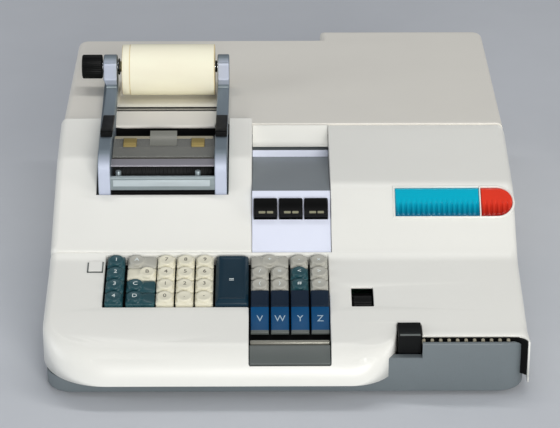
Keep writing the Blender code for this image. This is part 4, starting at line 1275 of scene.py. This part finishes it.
def make_lamps():
    """Two lenses end to end in one white bezel."""
    low, high = extent("lamp_ready", SLOPE)
    split = high[0]
    bottom, top = low[1], high[1]
    rise = high[2] - 0.0002
    right = HALF - 0.0028
    lens = lens_sheet(low[0], split - 0.0002, bottom, top, rise, False)
    add_piece("lens_ready", lens, "lens_cyan", replaces=("lamp_ready",), angle=60)
    lens = lens_sheet(split + 0.0014, right, bottom, top, rise, True)
    add_piece("lens_error", lens, "lens_red", replaces=("lamp_error",), angle=60)
    bead = ((0.0001, -0.0060), (0.0001, 0.0006), (0.0004, 0.0012), (0.0010, 0.0015), (0.0018, 0.0013),
            (0.0024, 0.0007), (0.0027, -0.0004), (0.0027, -0.0100))
    rings = [[on_plane(SLOPE, x, along, above) for x, along in lamp_plan(low[0], right, bottom, top, grow)]
             for grow, above in bead]
    bezel = loft(rings, cap=False)
    add_piece("lamp_bezel", bezel, "opal")
    divider = bmesh.new()
    slab(SLOPE, box_outline(split, split + 0.0012, bottom, top), -0.002, rise + 0.0001, mesh=divider)
    add_piece("lamp_divider", divider, "opal")


def make_indicator():
    """A small white pane in a dark gasket."""
    low, high = extent("indicator_window", DECK)
    width = 0.0013
    pane = slab(DECK, box_outline(low[0] + width, high[0] - width, low[1] + width, high[1]), 0.0, high[2])
    round_off(add_piece("indicator_pane", pane, "opal", replaces=("indicator_window",)),
              0.0006, 3)
    gasket = bmesh.new()
    for bar in (box_outline(low[0], low[0] + width, low[1], high[1] - 0.002),
                box_outline(high[0] - width, high[0], low[1], high[1] - 0.001),
                box_outline(low[0], high[0], low[1], low[1] + width)):
        slab(DECK, bar, -0.0010, high[2] - 0.0004, mesh=gasket)
    add_piece("indicator_gasket", gasket, "sill_grey")


def make_wheel():
    """The fluted decimal wheel in its black well."""
    low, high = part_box("decimal_wheel")
    axis, radius = axle("decimal_wheel")
    left, right = low.x + 0.005, high.x - 0.005
    pin = 0.0028
    stations = ((low.x, pin), (left, pin), (left, radius - 0.0012), (left + 0.0006, radius - 0.0002),
                (right - 0.0006, radius - 0.0002), (right, radius - 0.0012), (right, pin), (high.x, pin))
    wheel = fluted(stations, axis, 240, 30, 0.0008, pin)
    add_piece("decimal_thumbwheel", wheel, "black_plastic", "decimal_wheel", ("decimal_wheel",))
    well = bmesh.new()
    left, right, front, rear = WHEEL_HOLE
    wall = 0.0008
    foot, end_foot, top = 0.0440, 0.0590, 0.0655
    for inner in (left - 0.0002, right + 0.0002 + wall):
        block(inner - wall, inner, front - 0.0005, rear + 0.0005, foot, top, mesh=well)
    for inner in (front - 0.0003, rear + 0.0003 + wall):
        block(left - 0.0002, right + 0.0002, inner - wall, inner, end_foot, top, mesh=well)
    block(left - 0.0010, left + 0.0012, front, rear, foot, top - 0.0007, mesh=well)
    add_piece("wheel_well", well, "void_black")


def make_switch():
    """The power switch: a black rocker with a lighter ridge along its front edge."""
    low, high, front, rear = box_depths("power_switch")
    outline = [(front, low.z), (front, high.z - 0.0030), (front + 0.0003, high.z - 0.0020),
               (front + 0.0012, high.z - 0.0012), (front + 0.0110, high.z - 0.0016),
               (front + 0.0200, high.z - 0.0008), (rear - 0.0008, high.z), (rear, high.z - 0.0010),
               (rear, low.z)]
    piece = add_piece("switch_rocker", prism(outline, low.x, high.x), "black_plastic", "power_switch",
                      ("power_switch",))
    round_off(piece, 0.0007, 3)
    ridge = prism([(front + 0.0002, high.z - 0.0024), (front + 0.0004, high.z - 0.0014),
                   (front + 0.0012, high.z - 0.0008), (front + 0.0012, high.z - 0.0024)],
                  low.x + 0.0015, high.x - 0.0015)
    add_piece("switch_ridge", ridge, "sill_grey", "power_switch")


# The printer

ARM_HEAD = 0.3975
TABLE_FRONT, TABLE_REAR, TABLE_FOOT = 0.2240, 0.2375, 0.1466
WINDOW_GAP = 0.3596


def make_printer_frame():
    """Two grey arms with round heads, and the black floor between them."""
    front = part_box("printer_frame")[0].y - FRONT_Y
    head = arc(axle("paper_knob")[0], 0.0135, 150, -20, 28)
    outline = [(front, 0.1100)] + arc((front + 0.020, 0.144), 0.020, 180, 90, 16)
    outline += [(ARM_HEAD, 0.1640), (0.4035, 0.1655), (0.4080, 0.1700)] + head
    outline += [(0.4290, 0.1620), (0.4220, REAR_TOP + 0.0015), (SEAM - 0.001, REAR_TOP + 0.0015),
                (SEAM - 0.001, 0.1100)]
    for number, (left, right) in enumerate(((POD_LEFT, POD_INNER[0]), (POD_INNER[1], POD_RIGHT)), 1):
        side = prism(outline, left, right)
        replaced = ()
        if number == 1:
            replaced = ("printer_frame",)
            lean_arm(side, left)
        arm = add_piece("printer_arm_%d" % number, side, "arm_metal", replaces=replaced)
        round_off(arm, 0.0022, 4, 28)
    # Painted highlight along the bend where each arm's head begins.
    add_piece("arm_bend_highlights", arm_bend_highlights(), "brushed_steel")
    inner = (POD_INNER[0] - 0.001, POD_INNER[1] + 0.001)
    floor = block(*inner, front + 0.001, SEAM - 0.002, 0.1002, 0.1040)
    add_piece("printer_floor", floor, "void_black")
    make_name_bar(inner, front)
    make_paper_path(inner)


# The left arm's shift to the right, as (depth, shift)
LEAN = ((0.2125, 0.0025), (0.3300, 0.0027), (0.3970, 0.0004), (0.4080, -0.0006))


def lean_arm(side, outer_face):
    """The left arm leans: its foot stands inwards, and its wider head outwards."""
    depths, shifts = zip(*LEAN)
    for vertex in side.verts:
        depth = vertex.co.y - FRONT_Y
        is_outer = abs(vertex.co.x - outer_face) < 1e-5
        vertex.co.x += float(np.interp(depth, depths, shifts))
        if is_outer and depth > ARM_HEAD + 0.0065:
            vertex.co.x -= 0.0020


def arm_bend_highlights():
    """Painted highlight: the bright line across each arm where its head begins, a bright metal strip for the
    light caught on the bend there.
    """
    bend_highlights = bmesh.new()
    for left, right in ((POD_LEFT, POD_INNER[0]), (POD_INNER[1], POD_RIGHT)):
        prism([(ARM_HEAD, 0.1636), (0.3971, 0.1647), (0.3985, 0.1655), (0.4007, 0.1655), (0.4007, 0.1636)],
              left + 0.0008, right - 0.0008, mesh=bend_highlights)
    return bend_highlights


def make_name_bar(inner, front):
    """The blank bright bar across the front, with a raised plain strip on it."""
    bar = prism([(front + 0.0010, 0.1245), (front + 0.0010, 0.1385), (front + 0.0022, 0.1401),
                 (front + 0.0032, 0.1403), (front + 0.0036, 0.1395), (front + 0.0036, 0.1245)], *inner)
    round_off(add_piece("name_bar", bar, "brushed_steel"), 0.0008, 3)
    strip = bmesh.new()
    block(inner[0] + 0.0060, inner[1] - 0.0060, front + 0.0006, front + 0.0014, 0.1290, 0.1362, mesh=strip)
    round_off(add_piece("name_strip", strip, "name_metal"), 0.0005, 2)
    # Painted shade: a black block under the bar, for the dark gap between the bar and the cover.
    sill = bmesh.new()
    block(inner[0], inner[1], front + 0.0014, front + 0.0080, 0.1150, 0.1228, mesh=sill)
    add_piece("bar_gap_shade", sill, "void_black")


def make_paper_path(inner):
    """Paper table, slot with its screws, guide plate, and the rod behind the tear window."""
    table = prism([(TABLE_FRONT, TABLE_FOOT), (TABLE_FRONT, TABLE_FOOT + 0.0010), (0.2246, 0.1484),
                   (TABLE_REAR, 0.1500), (TABLE_REAR, TABLE_FOOT)], *inner)
    round_off(add_piece("paper_table", table, "lilac_metal"), 0.0004, 2)
    plate = block(*inner, TABLE_REAR + 0.0001, 0.2740, 0.1450, 0.1475)
    round_off(add_piece("guide_sheet", plate, "guide_plate"), 0.0005, 2)
    screws = bmesh.new()
    for x in (inner[0] + 0.0115, inner[1] - 0.0185):
        stations = ((0.0030, 0.1380), (0.0030, 0.1432), (0.0026, 0.1438), (0.0008, 0.1440))
        upright(x, 0.2205, stations, 24, screws)
    add_piece("bar_screws", screws, "brushed_steel")
    rod = turned([(inner[0] + 0.001, 0.0006), (inner[1] - 0.001, 0.0006)],
                 (WINDOW_GAP + 0.0009, REAR_TOP + 0.0010), 24)
    add_piece("paper_rod", rod, "dull_bar")
    shade = bmesh.new()
    block(inner[0] + 0.001, inner[1] - 0.001, WINDOW_GAP - 0.0024, WINDOW_GAP, REAR_TOP - 0.0004,
          REAR_TOP + 0.0002, mesh=shade)
    block(inner[0], inner[1], 0.3170, 0.3200, 0.1040, REAR_TOP - 0.0016, mesh=shade)
    add_piece("tongue_shade", shade, "void_black")


def make_levers():
    """The two paper release levers; the left one stands further in, with its leaning arm."""
    for side in ("left", "right"):
        name = "release_lever_" + side
        low, high, front, rear = box_depths(name)
        outline = [(front, low.z + 0.0006), (front + 0.0004, high.z - 0.0014), (front + 0.0018, high.z),
                   (front + 0.0080, high.z), (front + 0.0130, high.z - 0.0020),
                   (rear - 0.0060, high.z - 0.0021), (rear, high.z - 0.0040), (rear, low.z + 0.0015),
                   (rear - 0.0015, low.z), (front + 0.0010, low.z)]
        lean = 0.0026 if side == "left" else 0.0
        piece = add_piece("lever_" + side, prism(outline, low.x + lean, high.x + lean), "black_plastic", name,
                          (name,))
        round_off(piece, 0.0010, 3)


def make_window():
    """The sloping tear window, with its edge in light beige as a painted highlight, grip tab and two clips.
    """
    low, high, front, rear = box_depths("tear_window")
    rise = (high.z - low.z - 0.0024) / (rear - front - 0.001)
    rear -= 0.0060
    top = high.z - 0.0060 * rise

    def over(depth, above=0.0):
        """A (depth, height) place over the pane's underside."""
        return (depth, low.z + 0.0004 + (depth - front) * rise + above)

    left = low.x + 0.0028
    pane = prism([over(front), over(front, 0.0018), over(rear - 0.001, 0.0018), over(rear - 0.001)],
                 left, high.x)
    round_off(add_piece("window_pane", pane, "window", "tear_window", ("tear_window",)), 0.0004, 2)
    # Painted highlight: the window's rear edge is a light beige strip, for the light along that edge.
    edge = prism([over(rear - 0.0055, 0.0018), over(rear - 0.0053, 0.0021), (rear - 0.0010, top),
                  (rear - 0.0004, top - 0.0006), (rear - 0.0006, top - 0.0022)], left + 0.001, high.x - 0.002)
    add_piece("window_edge_highlight", edge, "vent_beige", "tear_window")
    length = high.x - low.x
    tab = prism([over(rear - 0.0190, 0.0020), over(rear - 0.0190, 0.0026), (rear - 0.0040, top + 0.0006),
                 (rear + 0.0016, top + 0.0052), (rear + 0.0022, top + 0.0046), (rear - 0.0036, top - 0.0004)],
                low.x + 0.375 * length, low.x + 0.635 * length)
    add_piece("window_tab", tab, "window_tab", "tear_window")
    clips = bmesh.new()
    for share in (0.185, 0.840):
        centre = low.x + share * length
        middle = rear - 0.0135
        shape = ((-0.0080, 0.0016), (-0.0074, 0.0036), (-0.0040, 0.0046), (0.0040, 0.0040), (0.0074, 0.0030),
                 (0.0080, 0.0016))
        outline = [over(middle + along, above) for along, above in shape]
        prism(outline, centre - 0.0070, centre + 0.0070, mesh=clips)
    round_off(add_piece("window_clips", clips, "brass", "tear_window"), 0.0022, 4, 15)


def make_roll():
    """The paper roll, with a groove near its left end, and its cardboard core."""
    left, right = (corner.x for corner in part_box("paper_roll"))
    axis, radius = axle("paper_roll")
    bore = 0.0091
    groove = left + 0.0086
    stations = [(left + 0.0004, bore), (left + 0.0002, radius * 0.45), (left, radius * 0.72),
                (left, radius - 0.0008), (left + 0.0006, radius - 0.0003), (groove - 0.0004, radius - 0.0003),
                (groove, radius - 0.0008), (groove + 0.0004, radius), (right - 0.0008, radius),
                (right, radius - 0.0008), (right, radius * 0.72), (right - 0.0002, radius * 0.45),
                (right - 0.0004, bore)]
    roll = turned(stations, axis, 128, closed=True)
    for face in roll.faces:
        if abs(face.normal.x) > 0.5:
            face.material_index = 1
    add_piece("roll_paper", roll, ("paper", "paper_edge"), "paper_roll", ("paper_roll",), 60)
    ends = (left + 0.0008, right - 0.0008)
    stations = [(ends[0], 0.0090), (ends[0], 0.0098), (ends[1], 0.0098), (ends[1], 0.0090)]
    core = turned(stations, axis, 64, closed=True)
    add_piece("roll_core", core, "paper_edge", "paper_roll")


def make_knob():
    """The fluted knob, and its spindle with the flange and the collar that hold the roll."""
    low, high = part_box("paper_knob")
    axis, radius = axle("paper_knob")
    left, right = low.x, POD_LEFT - 0.0043
    stations = ((left + 0.0006, 0.0060), (left, 0.0072), (left, radius - 0.0016),
                (left + 0.0005, radius - 0.0004), (left + 0.0016, radius), (right - 0.0014, radius),
                (right - 0.0004, radius - 0.0004), (right, radius - 0.0014), (right, 0.0052))
    grip = fluted(stations, axis, 240, 40, 0.0004, radius - 0.0008)
    add_piece("knob_grip", grip, "black_plastic", "paper_knob", ("paper_knob",), 30)
    roll_low, roll_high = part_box("paper_roll")
    cone = POD_INNER[0] + 0.0005
    shaft = turned([(right, 0.0001), (right, 0.0050), (cone, 0.0050), (roll_high.x + 0.0030, 0.0050),
                    (high.x, 0.0050), (high.x, 0.0001)], axis, 48)
    turned([(cone + 0.0008, 0.0051), (cone + 0.0008, 0.0066), (cone + 0.0014, 0.0068),
            (roll_low.x - 0.0010, 0.0053), (roll_low.x - 0.0010, 0.0051)], axis, 64, mesh=shaft)
    add_piece("spindle", shaft, "chrome", "paper_knob")
    flange = turned([(cone, 0.0052), (cone, 0.0086), (cone + 0.0003, 0.0090), (cone + 0.0012, 0.0090),
                     (cone + 0.0016, 0.0086), (cone + 0.0016, 0.0052)], axis, 64)
    add_piece("spindle_flange", flange, "black_plastic", "paper_knob")
    collar = turned([(roll_high.x + 0.0005, 0.0051), (roll_high.x + 0.0005, 0.0062),
                     (roll_high.x + 0.0009, 0.0066), (roll_high.x + 0.0021, 0.0066),
                     (roll_high.x + 0.0025, 0.0062), (roll_high.x + 0.0025, 0.0051)], axis, 64)
    add_piece("spindle_collar", collar, "black_plastic", "paper_knob")


def make_drum():
    """The type drum: a turned cylinder with a ring of type for every column."""
    low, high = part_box("print_drum")
    axis, radius = axle("print_drum")
    left, right = low.x + 0.0130, high.x - 0.0130
    stations = [(low.x, 0.004), (left, 0.004), (left, radius)]
    columns = 24
    step = (right - left) / columns
    for column in range(columns):
        x = left + column * step
        stations += [(x + 0.15 * step, radius), (x + 0.25 * step, radius - 0.0006),
                     (x + 0.75 * step, radius - 0.0006), (x + 0.85 * step, radius)]
    stations += [(right, radius), (right, 0.004), (high.x, 0.004)]
    add_piece("type_drum", turned(stations, axis, 64), "type_drum", "print_drum", ("print_drum",))


def cut_inlet(sheet):
    """An opening for the mains inlet in the rear wall of a cover sheet."""
    left, right, bottom, top = INLET
    wall = [face for face in sheet.faces
            if face.calc_center_median().y > FRONT_Y + REAR_DEPTH - 0.0005 and abs(face.normal.y) > 0.9]
    for place, normal in (((0, 0, bottom), (0, 0, 1)), ((0, 0, top), (0, 0, 1)), ((left, 0, 0), (1, 0, 0)),
                          ((right, 0, 0), (1, 0, 0))):
        parts = dict.fromkeys(wall)
        parts.update(dict.fromkeys(edge for face in wall for edge in face.edges))
        parts.update(dict.fromkeys(vertex for face in wall for vertex in face.verts))
        cut = bmesh.ops.bisect_plane(sheet, geom=list(parts), dist=1e-6, plane_co=place, plane_no=normal)
        wall = [item for item in cut["geom"] if isinstance(item, bmesh.types.BMFace)]
    inside_faces = [face for face in wall if left < face.calc_center_median().x < right
                    and bottom < face.calc_center_median().z < top]
    bmesh.ops.delete(sheet, geom=inside_faces, context="FACES")
    sheet.verts.sort(key=lambda vertex: vertex.co.dot(SORTING))
    sheet.faces.sort(key=lambda face: face.calc_center_median().dot(SORTING))


def make_inlet():
    """The recessed mains inlet: a black socket with a moulded rim and three blades."""
    left, right, bottom, top = INLET
    rim_width = 0.0025
    levels = ((0.0003, REAR_DEPTH - 0.0004), (0.0006, REAR_DEPTH), (rim_width - 0.0004, REAR_DEPTH),
              (rim_width, REAR_DEPTH - 0.0004), (rim_width, REAR_DEPTH - 0.0135))
    rings = []
    for inset, depth in levels:
        outline = rounded(box_outline(left + inset, right - inset, bottom + inset, top - inset), 0.0010, 4)
        rings.append([world(x, depth, z) for x, z in outline])
    socket = loft(rings, cap=False)
    socket.faces.new([socket.verts.new(point) for point in rings[-1]])
    add_piece("inlet_socket", socket, "black_plastic")
    middle = (left + right) / 2
    blades = bmesh.new()
    low, high = bottom + 0.009, bottom + 0.013
    for x, height in ((middle - 0.007, low), (middle, high), (middle + 0.007, low)):
        block(x - 0.001, x + 0.001, REAR_DEPTH - 0.0136, REAR_DEPTH - 0.0030, height - 0.0025,
              height + 0.0025, mesh=blades)
    round_off(add_piece("inlet_blades", blades, "brushed_steel"), 0.0003, 2)


def keep_inner_parts():
    """The motor and the boards stay as the CAD has them, in better finishes."""
    for name, material in (("drive_motor", "motor_enamel"), ("logic_boards", "board_resin")):
        for slot in frame["nodes"][name].material_slots:
            slot.material = MATERIALS[material]


# The studio


def area_light(name, place, size, power, colour):
    data = bpy.data.lights.new(name, "AREA")
    data.shape = "RECTANGLE"
    data.size, data.size_y = size
    data.energy = power
    data.color = colour
    light = bpy.data.objects.new(name, data)
    light.location = place
    light.rotation_euler = (Vector(LIGHT_TARGET) - Vector(place)).to_track_quat("-Z", "Y").to_euler()
    bpy.context.scene.collection.objects.link(light)


def make_studio():
    """Floor, pale surroundings and four lights."""
    floor_mesh = bmesh.new()
    bmesh.ops.create_grid(floor_mesh, x_segments=1, y_segments=1, size=6)
    mesh = bpy.data.meshes.new("floor")
    floor_mesh.to_mesh(mesh)
    floor_mesh.free()
    floor = bpy.data.objects.new("floor", mesh)
    bpy.context.scene.collection.objects.link(floor)
    finish("floor_grey", "d0d4da", 0.85, mottle=0.01, bump=0.02)
    mesh.materials.append(MATERIALS["floor_grey"])
    world_light = bpy.data.worlds.new("studio")
    bpy.context.scene.world = world_light
    world_light.use_nodes = True
    background = world_light.node_tree.nodes["Background"]
    background.inputs["Color"].default_value = WORLD_COLOUR
    background.inputs["Strength"].default_value = WORLD_STRENGTH
    bpy.context.scene.view_settings.view_transform = "Standard"
    for name, values in LIGHTS.items():
        area_light(name, *values)


def make_camera():
    data = bpy.data.cameras.new("camera")
    data.lens = CAMERA_LENS
    data.sensor_width = 36
    data.clip_end = 50
    camera = bpy.data.objects.new("camera", data)
    camera.location = CAMERA_PLACE
    camera.rotation_euler = (CAMERA_TILT, 0, CAMERA_ROLL)
    bpy.context.scene.collection.objects.link(camera)
    bpy.context.scene.camera = camera


def main():
    make_materials()
    make_front_cover()
    make_printer_cover()
    make_side_flanges()
    make_rear_cover()
    make_roll_trough()
    make_base()
    make_vent()
    make_channel()
    make_rockers()
    make_keys()
    make_key_bed()
    make_lamps()
    make_indicator()
    make_wheel()
    make_switch()
    make_printer_frame()
    make_levers()
    make_window()
    make_roll()
    make_knob()
    make_drum()
    make_inlet()
    keep_inner_parts()
    make_studio()
    make_camera()


main()
